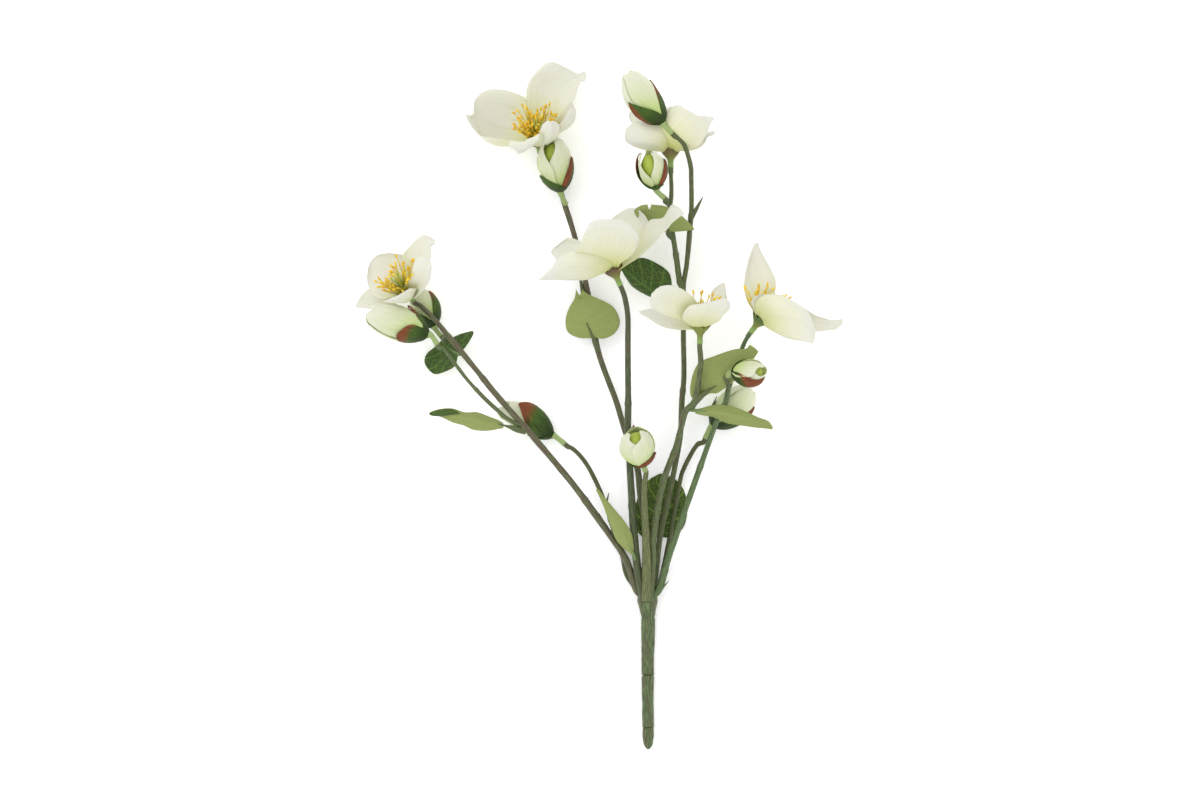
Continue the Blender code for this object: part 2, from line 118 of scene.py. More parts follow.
# Stems: where each starts (an angle round the crown, or a place on another stem), what it
# carries, its radius in millimetres at the start and end, knots as shares of its length where
# a moulded collar sits, and the places that it runs through.
STEMS = {
    "stem_1": dict(
        crown=180, ends="flower_1", radii=(2.4, 1.6), knots=(0.31, 0.56, 0.72, 0.86),
        path=[(637, 589, 8.2), (631.5, 572, 10), (625, 556, 11.5), (611, 535, 14), (580, 492, 20),
              (560, 467, 23.5), (540, 443.5, 26.8), (527, 428, 27.8), (512, 411.5, 28.4),
              (493.5, 390, 28.4), (477.5, 370, 28), (461, 350, 27.3), (451, 338, 27), (437, 321, 26.2),
              (424, 308, 25.2)]),
    "stem_2": dict(
        crown=260, ends="flower_2", radii=(2.1, 1.7), knots=(0.3, 0.62, 0.9),
        path=[(650, 560, 3.2), (648, 530, 5), (641.6, 498, 6.5), (638, 467, 7.5), (625.5, 429.5, 8),
              (616.6, 400, 8.5), (599, 351, 9), (589, 294, 9), (576.5, 240, 8), (566, 206, 6),
              (558, 182, 4.4), (549, 163, 3.8)]),
    "stem_3": dict(
        crown=140, ends="flower_3", radii=(2.7, 1.7), knots=(0.1, 0.3, 0.62),
        path=[(640, 580, 12.4), (637.2, 558, 14), (634.6, 530, 16.2), (632, 490, 18.5), (630.2, 458, 21),
              (628.7, 430, 23), (629, 400, 25), (628.7, 350, 31), (628.7, 318, 37), (626, 300, 41.5)]),
    "stem_4": dict(
        crown=340, ends="bud_6", radii=(2, 1.5), knots=(0.21, 0.44, 0.64, 0.8),
        path=[(660.4, 540, 8.5), (667, 508, 10), (673.8, 476, 11.5), (681, 436, 13), (682.7, 400, 14.5),
              (684.7, 376, 15.5), (684, 330, 17), (684, 289, 18), (687.5, 264, 21), (690.5, 230, 25),
              (692, 207, 30), (691.7, 180, 38), (691, 167, 43), (685.7, 149, 49), (680, 141, 51)]),
    "stem_5": dict(
        crown=60, ends="flower_5", radii=(2.2, 1.75), knots=(0.35, 0.56, 0.8),
        path=[(654, 560, 15), (654, 540, 17.5), (658.6, 507, 21), (665.7, 476, 25), (675.5, 450, 28),
              (681, 430, 31), (686, 412, 33.5), (694, 403, 35.5), (697, 394, 37), (701, 365, 42)]),
    "stem_6": dict(
        crown=20, ends="flower_6", radii=(2.3, 1.4), knots=(0.12, 0.5, 0.8),
        path=[(661, 587, 10), (669, 558, 13), (674.9, 541, 14.5), (681.8, 521, 16), (689.2, 500, 17.5),
              (708.6, 445, 23), (716.6, 423, 26.5), (725, 406, 28.6), (729, 388, 29.4), (734, 372, 30.4),
              (743.5, 346, 34)]),
    "bud_3_stem": dict(
        crown=220, ends="bud_3", radii=(1.7, 1.4), knots=(0.1, 0.5),
        path=[(628.5, 577, 4.4), (623.5, 556, 5), (619, 543, 5.5), (613.5, 526, 6.2), (606.5, 505, 7.5),
              (600, 488.5, 8.5), (590.2, 468.6, 9.6), (581.6, 456.4, 10.2), (573.4, 448.6, 10.4)]),
    "bud_5_stem": dict(
        crown=100, ends="bud_5", radii=(3.5, 1.6), knots=(0.3,),
        path=[(647.4, 560, 17), (646.4, 530, 21), (645.2, 500, 26), (645.4, 484, 28.5)]),
    "bud_8_stem": dict(
        crown=300, ends="bud_8", radii=(1.6, 1.4), knots=(0.6, 0.95),
        path=[(660, 585, 2.3), (670, 540, 4.6), (680, 485, 8), (685.4, 467, 9), (697, 446, 10.8)]),
    "bud_1_twig": dict(
        start=(526, 427, 27.5), ends="bud_1", radii=(1.3, 1.1), knots=(0.5,),
        path=[(510, 419.5, 28.3), (500, 411.5, 28.6), (483.5, 396, 29), (468, 379, 29.5), (455, 362, 30),
              (445, 349, 30.4)]),
    "bud_2_twig": dict(
        start=(447, 334, 26.5), ends="bud_2", radii=(1.2, 1.2), knots=(),
        path=[(444, 340, 20)]),
    "flower_4_twig": dict(
        start=(684, 292, 18), ends="flower_4", radii=(1.9, 1.3), knots=(0.08, 0.3, 0.66),
        path=[(680, 279, 19.5), (676.8, 257, 22.5), (673, 232, 25.5), (670, 215, 27.5), (672, 196, 30)]),
    "bud_7_twig": dict(
        start=(670, 206, 28.5), ends="bud_7", radii=(1.2, 1.2), knots=(),
        path=[(665, 202.5, 33.5)]),
    "bud_9_twig": dict(
        start=(729, 390, 29.4), ends="bud_9", radii=(1.3, 1.3), knots=(),
        path=[(728.4, 385, 36)]),
}

# Short pointed bracts that stand on a stem: its name, their foot, tip and radius in millimetres.
BRACTS = [
    ("stem_6", (660, 592, 9.6), (670, 580, 13), 0.9),
    ("bud_3_stem", (606.5, 506, 7.5), (610, 492, 10), 1),
    ("stem_4", (692.2, 218, 28.3), (700, 204.5, 30.5), 1.7),
    ("stem_4", (694.5, 214, 29), (703.6, 197.6, 31), 1.5),
    ("stem_2", (585.6, 300, 8.6), (579.6, 272, 8.2), 1.9),
    ("stem_1", (606, 526, 15), (600, 513, 19.5), 1.1),
    ("stem_3", (635, 562, 14.4), (641.5, 556.5, 16), 0.9),
]

# Flowers: the hub's place and axis, the stamens' own axis where it differs (brush), their scale
# and number, a seed for noise, the height in millimetres of the teeth on the calyx, and the
# calyx's colours below its rim and on it.
FLOWERS = {
    "flower_1": dict(hub=(406, 291, 34), axis=(-0.45, 0.54, 0.71), brush=(-0.42, 0.68, 0.6), size=0.9,
        stamens=50, seed=11, teeth=0.5, calyx=(120, 124, 52), rim=(116, 92, 50)),
    "flower_2": dict(hub=(538, 140, 17), axis=(-0.15, 0.6, 0.78), brush=(0.06, 0.74, 0.67), size=1,
        stamens=110, seed=5, teeth=0.8, calyx=(118, 112, 48), rim=(112, 76, 46)),
    "flower_3": dict(hub=(614, 270, 45), axis=(-0.4, 0.92, 0), size=0.95, stamens=56, seed=7, teeth=1.2,
        calyx=(112, 96, 50), rim=(92, 62, 42)),
    "flower_4": dict(hub=(671, 152, 33), axis=(-0.02, 0.96, -0.25), size=0.7, stamens=40, seed=3,
        teeth=7.5, calyx=(114, 98, 52), rim=(96, 66, 44)),
    "flower_5": dict(hub=(700.5, 326, 50), axis=(0.02, 0.97, 0.2), size=1, stamens=46, seed=9, teeth=1.2,
        calyx=(128, 138, 56), rim=(130, 136, 58)),
    "flower_6": dict(hub=(761.5, 318.5, 40), axis=(0.58, 0.79, 0.17), brush=(0.3, 0.92, 0.25), size=0.95,
        stamens=50, seed=21, teeth=0.8, calyx=(90, 112, 48), rim=(86, 108, 44)),
}

# The five petals of each flower: places along the left edge, the rib and the right edge, from
# near the hub to the tip.
PETALS = {
    "flower_1": [
        ([(393, 299, 33), (381, 299.5, 30), (372, 291, 26), (368.7, 279, 25), (370, 269, 25)],
         [(399, 285, 29), (391, 277, 24), (382, 268, 22), (376.5, 261, 23), (374, 260, 24)],
         [(411, 277, 28), (413, 264, 25), (407, 256, 24), (394, 254, 24.5), (381, 255, 25)]),
        ([(408, 272, 30), (404, 257, 27), (410.5, 247.5, 25), (420, 238, 24), (427, 235.6, 24),
          (436.5, 241.5, 25)],
         [(413, 275, 29), (416, 262, 26), (422, 251, 25), (429, 243, 24), (432, 240, 24.5),
          (437, 243, 25.5)],
         [(419, 281, 33), (426, 270, 33), (432.5, 258, 32), (432.5, 248.5, 29), (433.5, 246.5, 26),
          (435.5, 245.5, 26)]),
        ([(407, 286, 42), (412, 280, 49), (415, 267, 52), (418.5, 259.5, 53), (427, 257, 52)],
         [(416, 292, 38), (423, 286, 47), (429, 277, 52), (432, 268, 54), (433, 263, 53)],
         [(410, 301, 37), (419, 296.5, 46), (427, 288, 54), (430.5, 281, 56), (432, 271, 54)]),
        ([(409, 303, 34), (402, 304, 42), (394, 303.5, 48), (389.5, 302.5, 51), (386, 302, 53)],
         [(415, 297, 38), (411, 298, 47), (402, 299.5, 53), (395, 301, 55), (388.5, 301.5, 54)],
         [(419, 288, 38), (418, 289, 45), (412, 289.5, 53), (402, 295, 55), (392, 299.5, 54)]),
        ([(399, 303, 28), (386, 308.5, 22), (371, 309, 18), (362, 308.5, 16), (357, 307.5, 15)],
         [(396, 299, 28), (384, 300, 21), (370, 300, 17), (361, 303, 15.5), (356.8, 306.8, 15)],
         [(395, 293, 27), (382, 289, 21), (371, 289, 18), (363, 296, 16.5), (357.5, 306, 15)]),
    ],
    "flower_2": [
        ([(531, 121, 9), (528, 101, 4), (511, 91.5, 2.5), (489, 90, 3), (475.5, 100, 5), (475, 114.5, 10),
          (466.8, 115, 13)],
         [(528, 140, 12), (514, 141, 7), (498, 140, 3.5), (484, 131, 3), (474.5, 119, 6), (471, 121, 11),
          (467.5, 118, 13)],
         [(526, 146, 22), (512.6, 141.7, 25), (496, 139, 24), (483.5, 137, 20), (475.5, 131, 17),
          (473.5, 127, 15), (469, 121.5, 14)]),
        ([(532, 121, 9), (528, 101, 4.5), (528.5, 86, 2.5), (537, 72.5, 2), (553, 62, 3), (576, 73.5, 6),
          (585.5, 71.5, 7)],
         [(543, 126, 9), (549, 109, 4.5), (556, 94, 2.5), (564, 83, 2.5), (573, 77, 4), (579.5, 77, 6),
          (587.3, 76.5, 7.5)],
         [(554, 127, 14), (565, 113, 14), (573.5, 104, 13), (577.5, 92.5, 11), (581.5, 82.5, 9),
          (583, 82, 8.5), (585, 81.5, 8)]),
        ([(556, 123, 18), (565, 111, 24), (571, 104, 31), (573, 103, 37), (573, 105, 41)],
         [(553, 137, 18), (564, 132, 25), (573, 125, 32), (576.5, 116, 38), (575, 109, 42)],
         [(552, 136, 30), (558, 128, 40), (564, 122, 46), (569, 115, 46), (572, 109, 43)]),
        ([(537, 147, 23), (540, 141, 37), (542, 130, 48), (546, 124.5, 54), (550, 122.5, 57)],
         [(547, 146, 22), (550, 144, 36), (552, 137, 48), (553, 128, 55), (552, 124, 58)],
         [(555, 141, 24), (560, 135.5, 35), (560.5, 128, 44), (557, 124, 52), (554, 122.8, 57)]),
        ([(526, 144, 27), (517, 143, 40), (512, 142.5, 46), (510.5, 147, 46), (516, 151, 45),
          (518.5, 154.3, 44)],
         [(535, 146, 24), (530, 144, 41), (526, 143, 49), (524, 150, 49), (521, 153, 46),
          (519.7, 155, 44)],
         [(547, 147, 23), (547, 141, 40), (541, 134, 49), (540, 142, 50), (530, 150.5, 47),
          (521, 154.6, 44)]),
    ],
    "flower_3": [
        ([(605, 274, 47), (590, 280.5, 50), (574, 281.7, 52), (557, 281.4, 51), (548, 281, 50),
          (541, 281, 49)],
         [(608, 268, 54), (592, 268, 63), (574, 267, 66), (559, 270, 60), (549.5, 275.5, 54),
          (540.5, 280.5, 49)],
         [(612, 262, 56), (595, 254, 66), (574, 251.8, 66), (561.5, 258, 62), (552.5, 268.5, 57),
          (541.5, 279, 49.5)]),
        ([(604, 266, 55), (577, 257, 64), (581.5, 245.5, 75), (586, 234, 81), (592, 224, 82),
          (602, 221.8, 82)],
         [(613, 262, 57), (606, 252, 71), (609, 238, 82), (608, 228, 86), (607, 222, 85),
          (612, 221.5, 82.5)],
         [(622, 264, 55), (633, 256, 66), (639, 247, 72), (640, 239, 76), (632, 228, 80),
          (624, 222, 81)]),
        ([(622, 258, 42), (639, 238, 38), (650, 221.5, 38), (663, 219, 42), (668.5, 211, 45),
          (671, 206.8, 46), (673.5, 206.2, 47)],
         [(622, 266, 44), (641, 252, 44), (655, 236, 45), (667, 228, 46), (673, 217, 46),
          (677, 210.5, 46), (680, 209.6, 47)],
         [(625, 268, 52), (642, 257, 58), (656, 244, 58), (668, 229, 54), (676, 221, 50), (682, 217, 48),
          (684.6, 214.6, 47.5)]),
        ([(609, 257, 38), (605, 243, 30), (606, 229, 22), (613, 219, 15), (621, 213, 12),
          (628, 209.2, 13)],
         [(617, 256, 36), (620, 242, 26), (625, 228, 20), (629, 217, 18), (632, 211, 18),
          (631.5, 208.4, 15)],
         [(627, 256, 38), (640, 246, 32), (650, 229, 33), (648, 220, 32), (642, 212.5, 28),
          (635, 208.9, 18)]),
        ([(604, 268, 40), (590, 270, 34), (575, 268, 26), (560, 262, 17), (554, 256, 14.5),
          (551.8, 252.5, 14)],
         [(605, 262, 37), (590, 256, 28), (575, 251, 20), (563, 249, 15), (556, 250, 13.5),
          (552, 251.5, 13.5)],
         [(608, 256, 38), (596, 246, 32), (582, 241.5, 24), (569, 238, 18), (559, 245, 15),
          (553, 250.5, 13.5)]),
    ],
    "flower_4": [
        ([(663, 152.8, 36), (653, 152.6, 38), (642, 150.6, 39), (632, 146.8, 39), (626.5, 142, 39)],
         [(665, 147, 41), (657, 142, 46), (644, 138, 48), (632, 137, 45), (625.8, 137, 41)],
         [(671, 141, 42), (665, 130, 47), (648, 124, 47), (635, 124.6, 44), (627, 130, 41)]),
        ([(660, 148, 30), (648, 138, 26), (636, 127, 20), (630.5, 120, 17), (630, 113.5, 15)],
         [(662, 143, 27), (650, 130, 22), (639, 119, 17), (632, 114, 15), (631, 112, 14.5)],
         [(666, 140, 26), (659, 124, 20), (648, 112, 16), (637, 109.5, 14), (633, 110.5, 14)]),
        ([(666, 142, 24), (660, 130, 14), (660, 118, 6), (666, 109.5, 3), (670, 107, 1.5)],
         [(672, 140, 22), (673, 126, 11), (675, 114, 4), (676, 108, 2), (671.5, 106.5, 1.2)],
         [(679, 142, 24), (686, 130, 15), (689, 118, 8), (685, 110, 4), (673, 107.5, 1.6)]),
        ([(668, 143, 44), (661, 128, 50), (667, 113, 53), (679, 107, 51), (692.5, 116.5, 48),
          (703, 117.4, 46), (712.5, 118.5, 44.5)],
         [(677, 147, 44), (681, 138, 53), (690, 129, 55), (699, 121, 50), (703, 120.5, 47),
          (708, 119.6, 46), (714.5, 120.5, 44)],
         [(681, 151.8, 38), (690, 151.2, 42), (699.5, 146, 43), (707, 134, 43), (710.5, 126, 44),
          (712, 123, 44.5), (713.5, 122, 44)]),
        ([(680, 146, 32), (690, 138, 30), (701, 134, 26), (709, 133, 23), (714.5, 131.8, 22)],
         [(682, 150, 32), (693, 147, 29), (703, 141, 26), (710, 135, 23), (715.5, 133.5, 22)],
         [(681, 152, 34), (693, 151, 32), (704, 145.5, 28), (707, 139, 25), (714.5, 135.6, 22)]),
    ],
    "flower_5": [
        ([(690, 330, 50), (677, 330, 50), (663, 327, 49), (650, 319.5, 49), (640, 313, 50)],
         [(690, 325, 47), (676, 322, 45), (661, 317, 46), (649, 314, 48), (639.5, 312.3, 50)],
         [(692, 320, 45), (680, 313, 43), (667, 309, 45), (652, 309.5, 48), (640.5, 311.8, 50)]),
        ([(690, 324, 57), (675, 319, 65), (660, 314, 70), (652, 307.5, 72), (651, 299, 74),
          (654, 293, 75)],
         [(694, 318, 60), (681, 307, 71), (668, 300, 76), (659, 296, 78), (655, 293, 77),
          (657, 290.5, 76)],
         [(700, 313, 61), (696, 301.5, 69), (687, 293, 73), (675, 287, 76), (664, 286.5, 76.5),
          (660, 288.5, 76)]),
        ([(692, 326.5, 58), (683, 320, 68), (685.5, 311, 75), (692, 306, 78), (702, 305.3, 79),
          (713, 303, 79)],
         [(700, 326, 60), (702, 317.5, 73), (706, 311, 80), (712, 306, 82), (718, 302, 81),
          (721, 300, 80)],
         [(708, 326.5, 58), (718, 322, 68), (723, 315, 74), (729, 309.5, 77), (729.3, 304, 78),
          (726, 299.5, 79)]),
        ([(690, 318, 40), (674, 306, 32), (668, 298, 26), (672, 292, 23), (676, 290, 22)],
         [(697, 315, 38), (686, 303, 29), (681, 297, 24), (679, 293, 22), (678, 289.5, 22)],
         [(704, 316, 40), (697, 307, 32), (690, 300, 26), (684, 294, 23), (680, 290, 22)]),
        ([(704, 318, 46), (710, 304, 41), (711.5, 293, 38), (716, 287.5, 38), (722, 284, 38)],
         [(708, 319, 47), (717, 307, 42), (721, 296, 39), (722, 290, 38), (724.5, 283.5, 38)],
         [(710, 323, 50), (721, 314, 46), (727, 302, 43), (726, 293, 40), (725.8, 286, 38.5)]),
    ],
    "flower_6": [
        ([(754, 312, 36), (747.5, 301, 32), (744.5, 287, 27), (746, 272, 23), (749.5, 257, 21),
          (753.5, 247.5, 20), (756, 244, 20)],
         [(762, 308, 33), (760, 294, 26), (757, 278, 21), (756, 264, 19), (757, 253, 19),
          (758, 247, 19.5), (757.8, 243, 20)],
         [(769, 308, 34), (774.5, 296, 30), (776, 282, 26), (771, 269, 22), (763.5, 256.5, 20),
          (760, 249, 20), (759.6, 244.5, 20)]),
        ([(766, 310, 30), (772, 303, 20), (781, 300, 11), (789, 304, 5), (794, 308, 1.6)],
         [(769, 313, 28), (779, 309, 18), (788, 306, 8), (793, 308, 3), (796, 310, 1.2)],
         [(772, 318, 28), (784, 317, 19), (796, 313, 10), (799, 312, 4), (798, 311, 1.6)]),
        ([(770, 312, 38), (785, 303, 36), (801, 307, 34), (814, 314.5, 33), (825.5, 319, 32),
          (834, 320.5, 32), (842, 319.3, 32)],
         [(772, 318, 33), (788, 315, 28), (803, 317, 28), (816, 321, 30), (828, 323, 31),
          (836, 324, 31.5), (842.8, 322.6, 32)],
         [(770, 325, 35), (786, 331, 34), (801, 335, 34), (815, 332, 33), (829, 330.5, 32),
          (835, 330, 32), (841.5, 326, 32)]),
        ([(756, 312, 52), (756, 302, 62), (766, 295.5, 68), (784, 297.5, 71), (806, 311.5, 71),
          (813, 327, 68), (814.3, 336.3, 66.5)],
         [(763, 318, 52), (772, 315, 65), (786, 317, 72), (800, 322, 72), (809, 330, 70), (812, 337, 67),
          (813.6, 341, 66)],
         [(766, 327, 46), (776, 333, 54), (788, 338.5, 60), (799, 341, 64), (806, 342.5, 65),
          (809.5, 343.5, 66), (812, 344.5, 66)]),
        ([(755, 314, 45), (752, 306, 50), (752, 301, 56), (756, 297, 60), (762, 296, 62)],
         [(761, 313, 47), (761, 306, 55), (763, 300, 61), (765, 296, 64), (766, 295.5, 65)],
         [(767, 314, 48), (773, 308, 57), (778, 301, 63), (776, 297.5, 65), (770, 296, 65)]),
    ],
}

# Buds: base and tip, radius in millimetres, how far the middle bends to the side (bow), the share
# of the height from which the petals part (open) and how far (gap), half their width in degrees
# (span), the lower end of the neck tube, -1 where the petals lap the other way round (twist), and
# a brighter look of its own, painted light for a bud that lies in shade (outside). Petals are given
# by their angle in degrees round the axis, from the side that faces up. A sepal has the angles of
# its foot and tip, half its width in degrees, its height as a share of the bud's, how pointed it is,
# how red it is and on which side.
BUDS = {
    "bud_1": dict(
        base=(431, 335, 32), tip=(368, 312.5, 34), radius=11.2, bow=0.6, open=0.9, span=84, gap=0.4,
        neck_to=(438.5, 344.5, 31), petals=(-28, 92, 212),
        sepals=((-46, -40, 56, 0.45, 4.5, 1, 0), (80, 86, 44, 0.42, 2.6, 1, 0),
                (170, 170, 60, 0.4, 1.4, 0.4, 0))),
    "bud_2": dict(
        base=(436, 328, 14.5), tip=(417, 290, 9), radius=8.6, bow=0, open=0.62, span=74,
        neck_to=(443, 337, 19), petals=(30, 150, 270),
        sepals=((70, 62, 48, 0.8, 1.3, 0.8, 0), (-62, -86, 62, 0.74, 1.5, 0.8, 0),
                (180, 180, 60, 0.5, 1.4, 0.4, 0))),
    "bud_3": dict(
        base=(555, 436, 10.4), tip=(499, 406.5, 10.4), radius=8.7, bow=2.1, open=0.8, span=80,
        neck_to=(565.5, 444, 10.4), petals=(-20, 100, 220),
        sepals=((26, 42, 96, 0.72, 2, 1, 0), (-106, -110, 56, 0.36, 1.4, 0.4, 0),
                (170, 170, 60, 0.45, 1.4, 0.4, 0))),
    "bud_4": dict(
        base=(561.5, 193, 16), tip=(553, 138, 28), radius=10.9, bow=-0.9, open=0.43, span=74, gap=0.6,
        neck_to=(566.5, 204, 8.5), petals=(-80, 44, 180),
        sepals=((54, 70, 44, 0.62, 1.5, 1.4, -1), (-48, -62, 78, 0.38, 1.5, 0.3, 0),
                (186, 186, 60, 0.4, 1.4, 0.4, 0))),
    "bud_5": dict(
        base=(644.6, 466, 34), tip=(635, 430, 48), radius=11, bow=-1.1, open=0.7, span=74, twist=-1,
        neck_to=(645.9, 470, 31), petals=(-68, 54, 176),
        sepals=((40, 56, 84, 0.33, 2, 2.4, 0), (-70, -76, 56, 0.14, 1.4, 0.4, 0),
                (166, 178, 60, 1.04, 1.4, 0.8, 0))),
    "bud_6": dict(
        base=(664, 126, 54), tip=(627, 75, 56), radius=10.2, bow=-1.8, open=0.93, span=86, gap=0.05,
        neck_to=(672.5, 135, 53), petals=(-8, 118, 238),
        sepals=((-36, -48, 66, 0.59, 1.25, 1.3, -1), (74, 86, 46, 0.68, 1.3, 1, 0),
                (206, 206, 60, 0.4, 1.4, 0.4, 0))),
    "bud_7": dict(
        base=(657, 190.5, 39), tip=(647.5, 153, 50), radius=8.7, bow=0.6, open=0.26, span=72, gap=0.72,
        neck_to=(664.5, 198.5, 36), petals=(-82, 50, 168),
        sepals=((68, 78, 54, 0.72, 1.6, 1.3, -1), (-84, -92, 56, 0.42, 1.3, 0.3, 0),
                (-120, -104, 36, 0.98, 1.5, 1.1, 0), (0, 6, 70, 0.15, 1.2, 0.2, 0))),
    "bud_8": dict(
        base=(712, 427, 12.2), tip=(753, 389, 12.2), radius=10.8, bow=0, open=0.9, span=84, gap=0.2,
        # bud_8 takes a lighter look of its own: painted light, because it lies in the shade of leaf_9 and
        # bud_9.
        neck_to=(706, 438.5, 11.4), petals=(0, 120, 240), outside="bud_8_outside_painted_light",
        sepals=((74, 70, 60, 0.8, 1.3, 1, 0), (-78, -84, 54, 0.42, 1.4, 0.2, 0),
                (180, 180, 60, 0.5, 1.4, 0.4, 0))),
    "bud_9": dict(
        base=(731, 373.6, 44), tip=(765.5, 371.6, 53), radius=8, bow=0.4, open=0.7, span=76,
        neck_to=(728.2, 376.4, 41), petals=(-58, 66, 186),
        sepals=((58, 70, 66, 0.98, 2.2, 1.5, 0), (-120, -120, 40, 0.55, 1.4, 0.3, 0),
                (186, 186, 60, 0.4, 1.4, 0.4, 0))),
}

